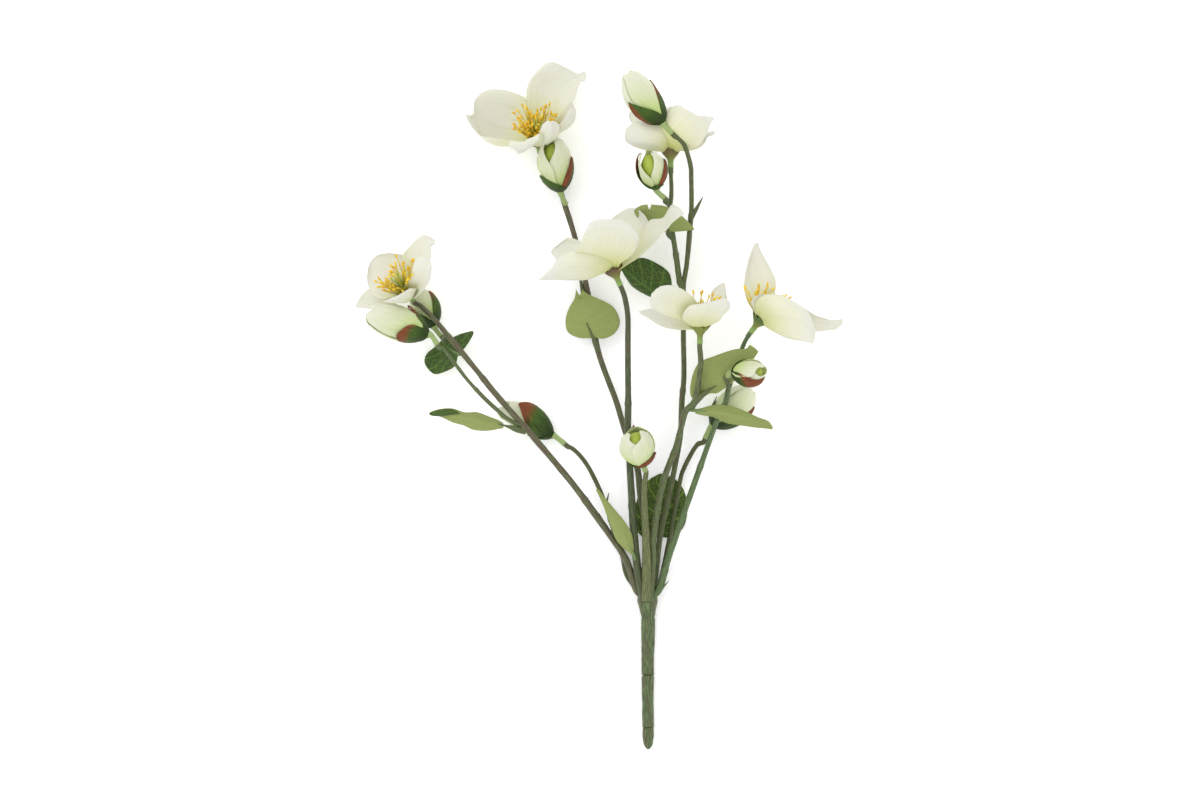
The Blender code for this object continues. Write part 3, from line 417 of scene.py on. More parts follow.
# Leaves: the side that faces up, the look of its upper side where it has its own (upper), the
# radius of a thick moulded stalk (stout), the petiole's places from its stem to under the blade,
# and the left edge, midrib and right edge of the blade, and of a tip that is folded over (fold).
LEAVES = {
    "leaf_1": dict(
        up="upper", petiole=[(463, 354, 26), (461, 354.5, 22.5), (457, 353, 18.5), (452, 350, 13)],
        edges=([(459, 356, 20), (456, 366, 16), (447, 371.5, 11), (435, 374, 7.5), (426, 364, 5),
                (428, 354, 3.5), (438, 347.5, 2.8)],
               [(458.5, 354, 19.5), (455, 352, 16), (451, 349.5, 12), (448, 347, 9), (445.5, 345, 6),
                (443, 343, 4), (441, 342, 3)],
               [(461, 353, 20.5), (468, 345, 18), (474.5, 331.8, 13), (464, 333.5, 10), (454, 337.5, 7),
                (447, 339.5, 5), (442.5, 341.5, 3.2)])),
    "leaf_2": dict(
        up="under", stout=2.3,
        petiole=[(527, 431.4, 27), (519, 429.4, 27.4), (511, 427, 27.6), (500, 424, 27.4)],
        edges=([(504.5, 428, 25.6), (499, 429, 24), (488, 431, 21.5), (475, 430, 21), (465, 425.2, 22),
                (454, 422, 22), (443, 417, 23), (432, 414.6, 24)],
               [(504.8, 426, 26.4), (499, 424.2, 26.6), (489, 423.5, 27), (476, 420, 27),
                (465, 416.5, 26.5), (451, 414.5, 25.5), (439, 412.5, 24.6), (430.5, 413.4, 24)],
               [(504.4, 423, 25.6), (498.5, 419.8, 24.6), (490, 416.8, 23.4), (478.5, 412.4, 23),
                (466, 412.4, 24), (453, 408.6, 24.6), (440, 409.4, 24.4), (432, 412, 24)]),
        fold=([(431.4, 415, 25), (436, 416, 25.4), (444, 416, 26), (453, 414.6, 26.8),
               (461, 413.6, 27.4)],
              [(430.8, 413.8, 25.2), (436.6, 413.6, 26.4), (444, 412.5, 27.6), (452.6, 411.6, 28),
               (459.6, 412.4, 27.8)],
              [(431.6, 412.6, 25), (437, 411, 25.8), (445, 409.4, 26.4), (452.6, 409.4, 27),
               (458.4, 411.4, 27.4)])),
    "leaf_3": dict(
        up="under", stout=1.7,
        petiole=[(599, 351, 9.5), (596.5, 345, 12), (593.5, 337, 14), (587.5, 323, 14.6)],
        edges=([(593, 338.5, 13.6), (580, 338, 13), (569, 332.5, 12.5), (566.5, 321, 12),
                (569.5, 309.5, 12), (575, 300, 12.8), (576.4, 295, 13.6), (577, 289.4, 14)],
               [(594, 337, 14), (592, 332, 14), (589, 325, 14), (587, 316, 14), (584.5, 306.5, 14),
                (582, 299, 14), (581, 298.4, 14), (580.5, 295.4, 14)],
               [(596, 338, 13.6), (606, 338.5, 13.4), (616, 333, 13), (620.8, 321.5, 13),
                (614.5, 307.5, 13), (602, 300, 13.4), (589, 294.4, 14), (583.4, 289.6, 14)])),
    "leaf_4": dict(
        up="under", petiole=[(637, 562, 14), (635.5, 557, 16.6), (633, 551, 19), (628, 543, 21)],
        edges=([(633, 554.5, 17.2), (624, 547.5, 18), (616.5, 538, 19.4), (611, 523, 22.4),
                (605.5, 508, 25), (600.5, 497, 26.4), (596.8, 489.5, 26.8)],
               [(634, 554.5, 17.6), (630, 546, 20.4), (623.5, 534, 23), (616, 520, 25.4),
                (609, 507, 26.8), (602.5, 496, 27), (597.8, 489, 27)],
               [(634.6, 554, 17.2), (634.3, 545, 18.6), (632, 532, 20), (624, 519, 23), (613, 506, 25.4),
                (604, 495, 26.6), (598.8, 488.5, 26.8)])),
    "leaf_5": dict(
        up="upper", petiole=[(684, 304, 17.4), (676, 302, 17), (668, 300.5, 17), (659, 296, 18)],
        edges=([(667, 302, 16.4), (658, 299.5, 15), (648, 296, 14), (640, 292, 13.6), (632, 286, 14.4),
                (626, 277, 18), (622, 269.5, 21.6)],
               [(668, 300, 17), (660, 296, 18), (651, 290.5, 19), (643, 284.5, 20.2), (635, 278.5, 21),
                (628, 273, 21.6), (621.6, 268.4, 22)],
               [(669, 298, 17.4), (672.5, 288, 18), (670, 273.5, 18.6), (659, 264.5, 19.4),
                (645, 258.5, 20.4), (634, 260, 21.4), (623.5, 266.5, 22)])),
    "leaf_6": dict(
        up="upper", upper="leaf_fresh",
        petiole=[(661, 539, 8), (659, 537, 5), (657.5, 534, 2.4), (658, 524, 1.9)],
        edges=([(655, 536, 1.8), (645, 538, 1.5), (636, 527, 1.4), (635.5, 510, 1.3), (640, 494, 1.3),
                (648, 481.5, 1.3), (658, 475, 1.2), (661.5, 473.8, 1.2)],
               [(657, 535, 2), (657.5, 529, 1.8), (658, 519, 1.7), (659, 507, 1.6), (660, 495, 1.5),
                (661, 484, 1.4), (662, 475.5, 1.3), (662, 473.6, 1.2)],
               [(659, 536, 1.8), (671, 537.5, 1.5), (684, 528, 1.4), (688.3, 510, 1.3), (685.5, 492, 1.3),
                (676.5, 479.5, 1.3), (666, 475, 1.2), (662.5, 473.8, 1.2)])),
    "leaf_7": dict(
        up="under", stout=1.9,
        petiole=[(673.5, 239, 24), (669.5, 235, 27), (668.6, 229, 29.6), (664, 221, 30.8)],
        edges=([(668, 232.5, 29.5), (656, 233, 29), (644, 225, 24), (635, 212.5, 23), (640.5, 206.8, 25),
                (648, 205.2, 28)],
               [(671, 232.5, 29.6), (669, 227.5, 30.4), (663.5, 221, 30), (657.5, 216, 30),
                (652, 212, 30.4), (650.2, 210.4, 29)],
               [(675, 232.5, 29.5), (688, 231.5, 29.2), (694.5, 229, 29), (681, 215.5, 30.4),
                (668, 207.7, 31), (652, 205.2, 30)])),
    "leaf_8": dict(
        up="under", stout=2.5,
        petiole=[(691, 408, 34), (697.5, 399.5, 36), (706, 392.4, 37), (716.5, 385.6, 37)],
        edges=([(697, 402, 34.2), (691, 395, 33.6), (692, 379, 33.4), (699, 363.5, 34),
                (714, 356.5, 35.4), (734, 349.8, 37), (746, 349, 38), (750, 345, 38.4)],
               [(699, 400.5, 34.4), (707, 393, 34.8), (714, 386, 35.2), (722, 379, 35.8),
                (731, 371, 36.6), (741, 362, 37.4), (751, 353, 38.2), (755.8, 348.8, 38.5)],
               [(702, 399, 34.2), (710, 393.5, 34), (717, 393.3, 33.8), (725, 388, 34), (736.5, 379, 35),
                (748, 366, 36.4), (756, 356, 37.6), (758.6, 352, 38.3)])),
    "leaf_9": dict(
        up="under", petiole=[(689, 410, 33.8), (695, 410.5, 34.6), (702, 411, 35.6), (712, 412, 36.2)],
        edges=([(695, 409, 34.4), (701, 408.6, 33.8), (714, 405.2, 32.4), (728, 406, 32),
                (744, 410.5, 32.4), (758, 417, 33.4), (768, 421, 34.6), (772, 425.5, 35)],
               [(695.5, 411, 34.8), (702, 411.5, 35.6), (716, 412.5, 36.6), (731, 415, 37),
                (746, 418.5, 36.8), (759, 422.5, 36), (768, 425.5, 35.4), (773, 427.3, 35)],
               [(696, 413.5, 34.4), (702, 415, 33.8), (714, 417, 32.6), (727, 423, 32),
                (743, 425.5, 32.6), (758, 427.6, 33.6), (766, 428.5, 34.6), (772.4, 429.6, 35)])),
}

# Stem looks: green, the noise level where brown starts, how fast the brown grows along the stem,
# and how many metres along it that growth is nought.
STEM_LOOKS = {
    "stem_1": ((92, 94, 64), 0.48, 0.0, 0.0),
    "stem_2": ((84, 92, 58), 0.5, 0.6, 0.12),
    "stem_3": ((74, 84, 54), 0.52, 1.1, 0.17),
    "stem_4": ((82, 94, 54), 0.52, 0.0, 0.0),
    "stem_5": ((88, 100, 62), 0.53, 0.0, 0.0),
    "stem_6": ((86, 106, 66), 0.6, 0.0, 0.0),
    "bud_3_stem": ((78, 86, 48), 0.56, 0.0, 0.0),
    "bud_5_stem": ((100, 106, 66), 0.58, 0.0, 0.0),
    "bud_8_stem": ((78, 86, 48), 0.56, 0.0, 0.0),
    "twig": ((88, 102, 62), 0.54, 0.0, 0.0),
}
# The brown streaks of the stems, the trunk's green and browns, and a sepal's greens and reds.
STEM_BROWNS = ((66, 54, 42), (116, 98, 78))
TRUNK_GREEN = (84, 100, 62)
TRUNK_BROWNS = ((64, 50, 38), (112, 94, 72))
SEPAL_GREENS = [(0.3, (38, 62, 18)), (0.5, (64, 92, 28)), (0.75, (92, 120, 38))]
SEPAL_REDS = [(0.35, (98, 50, 26)), (0.7, (152, 80, 42))]

# Petal looks: how far the colours run on towards the side edges, and colours from the base up.
PETAL_LOOKS = {
    "petal_inside": (0.0, [
        (0.0, (190, 198, 100)), (0.16, (214, 217, 162)), (0.4, (225, 225, 208)), (0.75, (226, 225, 216))]),
    "petal_outside": (0.0, [
        (0.0, (172, 184, 64)), (0.15, (216, 219, 146)), (0.38, (226, 226, 198)), (0.72, (226, 225, 216))]),
    "bud_outside": (0.25, [
        (0.0, (158, 190, 84)), (0.3, (192, 212, 128)), (0.65, (217, 223, 184)), (1.0, (228, 229, 206))]),
    # A lighter copy of bud_outside: painted light on bud_8, which lies in the shade of leaf_9 and bud_9.
    "bud_8_outside_painted_light": (0.25, [(0.0, (186, 218, 110)), (0.4, (226, 240, 176)), (1.0, (244, 246, 214))]),
    "bud_inside": (0.0, [(0.0, (158, 190, 84)), (0.5, (194, 210, 138)), (1.0, (212, 219, 168))]),
}

# Leaf looks: dark and light ground, veins and how much they show, roughness, and scale of the net.
LEAF_LOOKS = {
    "leaf_under": ((136, 150, 84), (158, 171, 104), (166, 178, 116), 0.35, 0.85, 2.6),
    "leaf_upper": ((44, 66, 24), (74, 98, 40), (112, 148, 62), 0.6, 0.55, 2.6),
    "leaf_fresh": ((48, 70, 24), (72, 96, 36), (142, 172, 66), 0.75, 0.55, 4.0),
}

# Plain looks: scale of the noise, roughness, the mark that the colours follow, colours and bump.
PLAIN_LOOKS = {
    "bud_heart": (220.0, 0.7, None, [(0.3, (146, 168, 44)), (0.7, (186, 198, 86))]),
    "filament": (300.0, 0.5, "along", [
        (0.0, (150, 146, 40)), (0.35, (196, 180, 56)), (0.8, (232, 200, 64))]),
    "anther": (400.0, 0.6, "along", [
        (0.2, (238, 186, 24)), (0.5, (246, 206, 34)), (0.9, (252, 222, 66))]),
    "pistil": (300.0, 0.5, "along", [(0.2, (120, 146, 50)), (0.8, (190, 204, 106))]),
    "neck": (500.0, 0.5, None, [(0.3, (138, 160, 92)), (0.7, (168, 188, 122))]),
    "petiole": (300.0, 0.5, "along", [
        (0.0, (96, 124, 66)), (0.5, (112, 136, 76)), (1.0, (120, 142, 82))]),
    "floor": (6.0, 0.9, None, [(0.3, (0.955, 0.955, 0.955, 1)), (0.7, (0.965, 0.965, 0.965, 1))], 0.02),
}
# The colours of a flower's neck, up to where its calyx opens.
NECK_STOPS = [(0.0, (140, 170, 92)), (0.28, (130, 160, 80)), (0.5, (126, 136, 58))]

# Lamps: place and size in metres, and power in watts.
LAMPS = [("key", (-0.9, 0.8, 1.6), 1.6, 9.0), ("fill", (1.0, -0.6, 1.8), 2.0, 3.0)]


def at(across, down, height):
    """The point at a place on the plan and a height in millimetres."""
    x = (across - PLAN_ORIGIN[0]) * PLAN_UNIT
    y = (PLAN_ORIGIN[1] - down) * PLAN_UNIT
    return Vector((x, y, height * MM))


def points_at(places):
    return [at(*place) for place in places]


def shares(steps):
    """Even steps from 0 to 1."""
    return [step / steps for step in range(steps + 1)]


def spread(steps):
    """Even steps from -1 to 1."""
    return [2 * step / steps - 1 for step in range(steps + 1)]


def spin(turn):
    """The unit vector at an angle round Z."""
    return Vector((math.cos(turn), math.sin(turn), 0))


def noise_at(x, y, z):
    return noise.noise(Vector((x, y, z)))


def name_seed(name):
    """A number that gives each piece its own noise."""
    return sum(ord(letter) for letter in name)


def smoothstep(low, high, value):
    share = min(1, max(0, (value - low) / (high - low)))
    return share * share * (3 - 2 * share)


def spline(points, steps):
    """Points along a smooth curve that passes through all the given points."""
    padded = [points[0] * 2 - points[1]] + list(points) + [points[-1] * 2 - points[-2]]
    curve = []
    for i in range(len(points) - 1):
        a, b, c, d = padded[i:i + 4]
        for step in range(steps):
            t = step / steps
            curve.append(0.5 * (2 * b + (c - a) * t + (2 * a - 5 * b + 4 * c - d) * t**2
                                + (3 * b - a - 3 * c + d) * t**3))
    curve.append(points[-1].copy())
    return curve


def distances_along(points):
    """The distance of each point from the first, measured along the points."""
    distances = [0.0]
    for before, after in zip(points, points[1:]):
        distances.append(distances[-1] + (after - before).length)
    return distances


def frame_on(origin, axis):
    """A frame whose Z runs along the axis and whose X looks up as far as it can."""
    z = axis.normalized()
    x = UP - z * z.z
    if x.length < 0.05:
        x = Vector((0, -1, 0)) - z * -z.y
    x.normalize()
    turn = Matrix((x, z.cross(x), z)).transposed().to_4x4()
    return Matrix.Translation(origin) @ turn


def show(name, data):
    """A new object in the scene."""
    shown = bpy.data.objects.new(name, data)
    bpy.context.scene.collection.objects.link(shown)
    return shown


class Shape:
    """Points, faces and the marks along, across and tint that looks read at each point."""

    def __init__(self):
        self.points = []
        self.faces = []
        self.slots = []
        self.marks = {"along": [], "across": [], "tint": []}

    def add_grid(self, rows, alongs=None, acrosses=None, slot=0, closed=False, tints=None):
        """A grid of points, marked evenly from 0 to 1 along it and from -1 to 1 across it."""
        first = len(self.points)
        width = len(rows[0])
        spans = width if closed else width - 1
        alongs = alongs or shares(len(rows) - 1)
        acrosses = acrosses or spread(spans)
        tints = tints or [[0.0] * width] * len(rows)
        for row, along, tint in zip(rows, alongs, tints):
            self.points += row
            self.marks["along"] += [along] * width
            self.marks["across"] += acrosses[:width]
            self.marks["tint"] += tint
        for a in range(first, first + width * (len(rows) - 1), width):
            for c in range(spans):
                d = (c + 1) % width
                self.faces.append((a + c, a + d, a + d + width, a + c + width))
                self.slots.append(slot)
        return first

    def add_solid(self, rings, alongs=None, acrosses=None, slot=0):
        """Rings joined into a closed form with a cap at each end."""
        sides = len(rings[0])
        first = self.add_grid(rings, alongs, acrosses, slot, closed=True)
        last = first + (len(rings) - 1) * sides
        self.faces.append(tuple(reversed(range(first, first + sides))))
        self.faces.append(tuple(range(last, last + sides)))
        self.slots += [slot, slot]

    def add_tube(self, points, radii, sides, slot=0, along=None, knobs=0.0, seed=0):
        """A closed tube through the points, with its radii and moulded knobs in millimetres."""
        turns = [2 * math.pi * side / sides - math.pi for side in range(sides)]
        distances = distances_along(points)
        rings = []
        side_way = None
        for i, point in enumerate(points):
            ahead = (points[min(len(points) - 1, i + 1)] - points[max(0, i - 1)]).normalized()
            if side_way is None:
                side_way = UP if abs(ahead.z) < 0.9 else Vector((1, 0, 0))
            side_way = (side_way - ahead * side_way.dot(ahead)).normalized()
            other = ahead.cross(side_way)
            ring = []
            for turn in turns:
                way = side_way * math.cos(turn) + other * math.sin(turn)
                radius = radii[i]
                if knobs:
                    lump = noise.noise(point * 260 + way * 1.1 + Vector((seed, 0, 0)))
                    ridge = noise_at(turn * 1.6 + seed, distances[i] * 70, 3.1)
                    radius += knobs * (0.7 * lump + 0.6 * ridge)
                ring.append(point + way * (radius * MM))
            rings.append(ring)
        self.add_solid(rings, along or distances, turns, slot)

    def piece(self, name, node, looks, thickness=0.0):
        """Makes the object, gives it its looks, hangs it on the root body and hides the model part that it
        stands for.
        """
        mesh = bpy.data.meshes.new(name)
        mesh.from_pydata(self.points, [], self.faces)
        for label, values in self.marks.items():
            layer = mesh.attributes.new(label, "FLOAT", "POINT")
            layer.data.foreach_set("value", values)
        mesh.polygons.foreach_set("material_index", self.slots)
        mesh.polygons.foreach_set("use_smooth", [True] * len(self.faces))
        for look in looks:
            mesh.materials.append(MATERIALS[look])
        mesh.update()
        shown = show(name, mesh)
        if thickness:
            shell = shown.modifiers.new("thickness", "SOLIDIFY")
            shell.thickness = thickness
            shell.offset = 0
            shell.use_even_offset = False
            if len(looks) > 1:
                shell.material_offset = 1
        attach(shown, "root")
        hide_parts(node)


def across_grid(edges, steps, columns, crease=0.0):
    """A smooth grid of points between a left edge, a rib and a right edge."""
    grid = []
    for a, m, b in zip(*(spline(edge, steps) for edge in edges)):
        row = []
        for u in spread(columns):
            curved = m + (b - a) * (u / 2) + ((a + b) / 2 - m) * u**2
            straight = m + ((b if u > 0 else a) - m) * abs(u)
            point = curved.lerp(straight, crease)
            point.z = max(point.z, LOWEST_SHEET)
            row.append(point)
        grid.append(row)
    return grid


def grid_normals(grid):
    """A unit normal at each point of a grid."""
    normals = []
    for r, row in enumerate(grid):
        line = []
        for c in range(len(row)):
            along = grid[min(r + 1, len(grid) - 1)][c] - grid[max(r - 1, 0)][c]
            across = row[min(c + 1, len(row) - 1)] - row[max(c - 1, 0)]
            normal = along.cross(across)
            line.append(normal.normalized() if normal.length > 1e-12 else UP.copy())
        normals.append(line)
    return normals


def displace(grid, lift, *seeds):
    """Moves each point along its normal by lift millimetres and keeps it above the floor."""
    for row, normals, v in zip(grid, grid_normals(grid), shares(len(grid) - 1)):
        for c, u in enumerate(spread(len(row) - 1)):
            row[c] = row[c] + normals[c] * lift(u, v, *seeds) * MM
            row[c].z = max(row[c].z, LOWEST_SHEET)


def centre_of(grid):
    return grid[len(grid) // 2][len(grid[0]) // 2]


def flip_to(grid, towards):
    """The grid, mirrored side for side if need be, so that its faces look towards a point."""
    normal = centre_of(grid_normals(grid))
    looks_away = normal.dot(towards - centre_of(grid)) > 0
    return [row[::-1] for row in grid] if looks_away else grid


def petal_lift(u, v, number, seed):
    """How far the cloth stands off its smooth form: a swell, a frilled edge and a sunk rib."""
    swell = noise_at(u * 1.7, v * 2.2, number * 5 + seed) * math.sin(math.pi * v)
    frill = noise_at(u * 2.0, v * 9.0, number * 7 + seed + 20) * abs(u)**3 * v
    sunk = math.exp(-(u / 0.07)**2) * math.sin(math.pi * min(1, v * 1.1))
    return swell + 0.9 * frill - 0.5 * sunk


def leaf_lift(u, v, seed):
    """How far a blade stands off its smooth form, with its side veins raised."""
    vein = math.cos(2 * math.pi * (v * 6.0 - abs(u) * 1.5))
    swell = noise_at(u * 1.4 + seed, v * 3.0, 1.5)
    return 0.7 * swell * math.sin(math.pi * v) + 0.10 * max(0, vein)**6


def build_petals(name, flower):
    """Five thin petals that start together at the hub."""
    hub = at(*flower["hub"])
    axis = Vector(flower["axis"]).normalized()
    foot = hub - axis * 0.8 * MM
    shape = Shape()
    for number, petal in enumerate(PETALS[name]):
        left, rib, right = (points_at(edge) for edge in petal)
        side = (right[0] - left[0]).normalized() * HUB_RADIUS * 0.6
        out = rib[0] - hub
        out = (out - axis * out.dot(axis)).normalized() * HUB_RADIUS
        left.insert(0, foot + out * 0.2 - side)
        rib.insert(0, foot + out * 0.4)
        right.insert(0, foot + out * 0.2 + side)
        grid = across_grid((left, rib, right), PETAL_STEPS, PETAL_COLUMNS)
        displace(grid, petal_lift, number, flower["seed"])
        shape.add_grid(flip_to(grid, hub + axis * 45 * MM))
    shape.piece(name + "_corolla", name + "_petals", ["petal_inside", "petal_outside"],
                PETAL_THICKNESS)


def add_ring(shape, turn, count, start, spots, radii, slot, along):
    """A ring of small tubes round an axis. A spot is a distance out from it and one along it."""
    for number in range(count):
        out = spin(2 * math.pi * number / count + start)
        points = [turn @ (out * reach * MM + UP * height * MM) for reach, height in spots]
        shape.add_tube(points, radii, 6, slot, along)


def build_stamens(name, flower):
    """Thin curved filaments with anthers, a ring of nectaries and a few pistils."""
    turn = frame_on(at(*flower["hub"]), Vector(flower.get("brush", flower["axis"])))
    draw = random.Random(flower["seed"])
    size = flower["size"]
    shape = Shape()
    for number in range(flower["stamens"]):
        bearing = number * GOLDEN_ANGLE + draw.uniform(-0.3, 0.3)
        outward = math.sqrt((number + 0.5) / flower["stamens"])
        lean = math.radians(5 + 38 * outward + draw.uniform(-5, 8))
        length = draw.uniform(9, 22) * size * MM
        out = spin(bearing)
        foot = out * draw.uniform(1.2, 4.2) * MM + UP * 0.6 * MM
        way = out * math.sin(lean) + UP * math.cos(lean)
        bow = Vector((draw.uniform(-1, 1), draw.uniform(-1, 1), 0)) * 1.6 * MM
        points = [turn @ (foot + way * length * t + bow * math.sin(math.pi * t)) for t in shares(4)]
        shape.add_tube(points, (0.44, 0.42, 0.4, 0.36, 0.32), 5, along=(0, 0.25, 0.5, 0.75, 0.9))
        heading = (points[-1] - points[-2]).normalized()
        sway = Vector((draw.uniform(-1, 1), draw.uniform(-1, 1), draw.uniform(-1, 1))) * 0.5
        heading = (heading + sway).normalized()
        anther = [points[-1] + heading * (t - 0.3) * ANTHER_LENGTH for t in (0, 0.12, 0.35, 0.65, 0.9, 1)]
        shape.add_tube(anther, (0.15, 0.55, 0.76, 0.74, 0.5, 0.14), 6, 1, [draw.random()] * 6)
    nectary = [((3.0 + 0.5 * t) * size, (0.4 + 4.2 * t) * size) for t in shares(2)]
    add_ring(shape, turn, NECTARIES, 0.0, nectary, (0.35, 0.6, 0.75), 0, (0.1, 0.3, 0.5))
    heights = (0, 0.2, 0.4, 0.7, 1)
    pistil = [(0.8 + 2.6 * t * t, (0.5 + 15 * t) * size) for t in heights]
    add_ring(shape, turn, PISTILS, 0.4, pistil, (0.5, 0.9, 0.7, 0.4, 0.36), 2, heights)
    shape.piece(name + "_stamen_brush", name + "_stamens", ["filament", "anther", "pistil"])


def build_calyx(name, flower):
    """The neck tube that opens into a cup under the petals, with a ragged dry rim."""
    turn = frame_on(at(*flower["hub"]), Vector(flower["axis"]))
    outline = spline([Vector((radius, 0, height)) for radius, height in CALYX_PROFILE], 3)
    rows = []
    for spot, share in zip(outline, shares(len(outline) - 1)):
        row = []
        for side in range(CALYX_SIDES):
            bearing = 2 * math.pi * side / CALYX_SIDES
            ragged = noise_at(math.cos(bearing) * 3, math.sin(bearing) * 3, flower["seed"])
            radius = spot.x * (1 + share**6 * (0.10 * math.cos(5 * bearing) + 0.35 * ragged))
            tooth = flower["teeth"] * max(0, math.cos(7 * bearing))**2
            height = spot.z + share**8 * (2.2 * ragged + tooth)
            row.append(turn @ (spin(bearing) * radius * MM + UP * height * MM))
        rows.append(row)
    shape = Shape()
    shape.add_grid(rows, closed=True)
    shape.piece(name + "_cup", name + "_calyx", [name + "_calyx"], CUP_THICKNESS)


def bud_place(bud, length, share, turn, extra):
    """A point of the bud's surface in its own frame, extra millimetres outside the ball."""
    width = math.sin(math.pi * min(share, 0.975)**1.06)**0.47
    place = spin(turn) * (bud["radius"] * MM * width + extra * MM)
    place.y += bud["bow"] * MM * math.sin(math.pi * min(1, share))
    place.z = BUD_LIFT + share * (length - BUD_LIFT)
    return place


def build_bud_petals(name, bud, turn, length):
    """Three soft petals wrapped round a lime heart, which shows where they part."""
    seed = name_seed(name)
    ball = Shape()
    turns = [2 * math.pi * side / HEART_SIDES for side in range(HEART_SIDES)]
    rings = []
    for share in HEART_RINGS:
        inset = -1.5 if share > 0.1 else -0.2
        rings.append([turn @ bud_place(bud, length * 0.91, share, angle, inset) for angle in turns])
    ball.add_solid(rings, slot=2)

    flare_size = 0.8 if bud["open"] < 0.85 else 0.1
    for number, centre in enumerate(bud["petals"]):
        grid = []
        for v in shares(30):
            narrow = 1 - bud.get("gap", BUD_GAP) * smoothstep(bud["open"], 1.0, v)
            span = math.radians(bud["span"]) * narrow * (0.75 + 0.25 * smoothstep(0, 0.2, v))
            row = []
            for u in spread(24):
                share = 0.02 + 0.965 * v - 0.05 * abs(u)**2.5 * smoothstep(0.7, 1, v)
                lap = 0.55 * bud.get("twist", 1) * u + 0.15
                flare = flare_size * smoothstep(0.85, 1.0, v) + 0.35 * abs(u)**3 * math.sin(math.pi * v)
                rib = -0.3 * math.exp(-(u / 0.1)**2) * math.sin(math.pi * v)
                swell = 0.6 * noise_at(u * 1.5, v * 2.5, seed + number)
                fold = 0.25 * noise_at(u * 5, v * 1.5, seed + number + 9)
                angle = math.radians(centre) + span * u
                row.append(turn @ bud_place(bud, length, share, angle, lap + flare + rib + swell + fold))
            grid.append(row)
        ball.add_grid(flip_to(grid, turn @ Vector((0, 0, length / 2))))
    looks = ["bud_inside", bud.get("outside", "bud_outside"), "bud_heart"]
    ball.piece(name + "_wrapped_petals", name + "_petals", looks, WRAPPED_THICKNESS)


def build_bud_sepals(name, bud, turn, length):
    """Pointed sepals that hug the bud, over a neck tube that takes the end of the stem."""
    cup = Shape()
    for number, (foot, tip, half, height, point, red, side) in enumerate(bud["sepals"]):
        grid = []
        tints = []
        for v in shares(26):
            span = math.radians(half) * (1 - 0.97 * v**point) * (1.1 - 0.1 * v)
            span += math.radians(34) * (1 - smoothstep(0.02, 0.14, height * v))
            centre = math.radians(foot + (tip - foot) * v)
            share = max(0.002, height * v)
            row = []
            tint = []
            for u in spread(24):
                lap = 0.95 + 0.2 * u + 0.35 * math.sin(math.pi * v) + 0.12 * number
                flare = 0.6 * smoothstep(0.7, 1, v)
                grain = 0.10 * math.sin(u * 22) * math.sin(math.pi * v)
                place = bud_place(bud, length, share, centre + span * u, lap + flare + grain)
                place.z -= max(0, 0.02 - share) * 40 * MM
                row.append(turn @ place)
                tint.append(red * (0.45 * v + 0.45 * side * u + 0.22 if side else v))
            grid.append(row)
            tints.append(tint)
        facing = flip_to(grid, turn @ Vector((0, 0, length / 2)))
        if facing is not grid:
            tints = [tint[::-1] for tint in tints]
        cup.add_grid(facing, tints=tints)
    base = turn.translation
    axis = turn.to_3x3().col[2]
    foot = at(*bud["neck_to"])
    bend = base - axis * 1.2 * MM
    outline = spline([foot, foot.lerp(bend, 0.5) - axis * 0.3 * MM, bend, base + axis * 0.8 * MM], 4)
    widths = (1.68, 1.66, 1.62, 1.6, 1.55, 1.5, 1.5, 1.52, 1.6, 1.75, 2.0, 2.3, 2.6)
    cup.add_tube(outline, widths, 14, 2, shares(12), knobs=0.05, seed=name_seed(name))
    cup.piece(name + "_cup", name + "_sepals", ["sepal", "sepal", "neck"], CUP_THICKNESS)


def build_bud(name, bud):
    """A bud in a frame of its own, which runs from its base to its tip."""
    base, tip = at(*bud["base"]), at(*bud["tip"])
    turn = frame_on(base, tip - base)
    build_bud_petals(name, bud, turn, (tip - base).length)
    build_bud_sepals(name, bud, turn, (tip - base).length)


def build_leaf(name, leaf):
    """A creased blade with sunk veins, on a petiole that is stuck under it as a rib."""
    seed = int(name[-1]) * 3
    edges = [points_at(edge) for edge in leaf["edges"]]
    grid = across_grid(edges, LEAF_STEPS, LEAF_COLUMNS, LEAF_CREASE)
    displace(grid, leaf_lift, seed)
    shape = Shape()
    shape.add_grid(flip_to(grid, centre_of(grid) + UP))
    if "fold" in leaf:
        edges = [points_at(edge) for edge in leaf["fold"]]
        turned = across_grid(edges, LEAF_STEPS, LEAF_COLUMNS)
        shape.add_grid(flip_to(turned, centre_of(turned) - UP), shares(len(turned)))
    looks = [leaf.get("upper", "leaf_upper"), "leaf_under"]
    if leaf["up"] == "under":
        looks.reverse()
    shape.piece(name + "_blade", name, looks, LEAF_THICKNESS)

    stalk = Shape()
    curve = spline(points_at(leaf["petiole"]), 6)
    stout = leaf.get("stout", PETIOLE_RADIUS)
    along = shares(len(curve) - 1)
    radii = [stout - (stout - PETIOLE_TIP_RADIUS) * smoothstep(0.35, 1.0, share) for share in along]
    stalk.add_tube(curve, radii, 10, along=along, knobs=0.08, seed=seed)
    stalk.piece(name + "_petiole", name, ["twig" if "stout" in leaf else "petiole"])


def stem_path(stem):
    """The points of a stem from its seat to the neck tube of what it carries."""
    points = points_at(stem["path"])
    if "crown" in stem:
        angle = math.radians(stem["crown"])
        seat = at(*CROWN) + CROWN_RING * MM * Vector((math.cos(angle), 0, math.sin(angle)))
        points = [seat, seat + Vector((0, 4 * MM, 0))] + points
    else:
        points.insert(0, at(*stem["start"]))
    if stem["ends"] in FLOWERS:
        flower = FLOWERS[stem["ends"]]
        axis = Vector(flower["axis"]).normalized()
        end = at(*flower["hub"]) - axis * NECK_LENGTH
    else:
        bud = BUDS[stem["ends"]]
        end = at(*bud["neck_to"])
        axis = (at(*bud["base"]) - end).normalized()
    return points + [end - axis * 3 * MM, end + axis * 0.3 * MM]


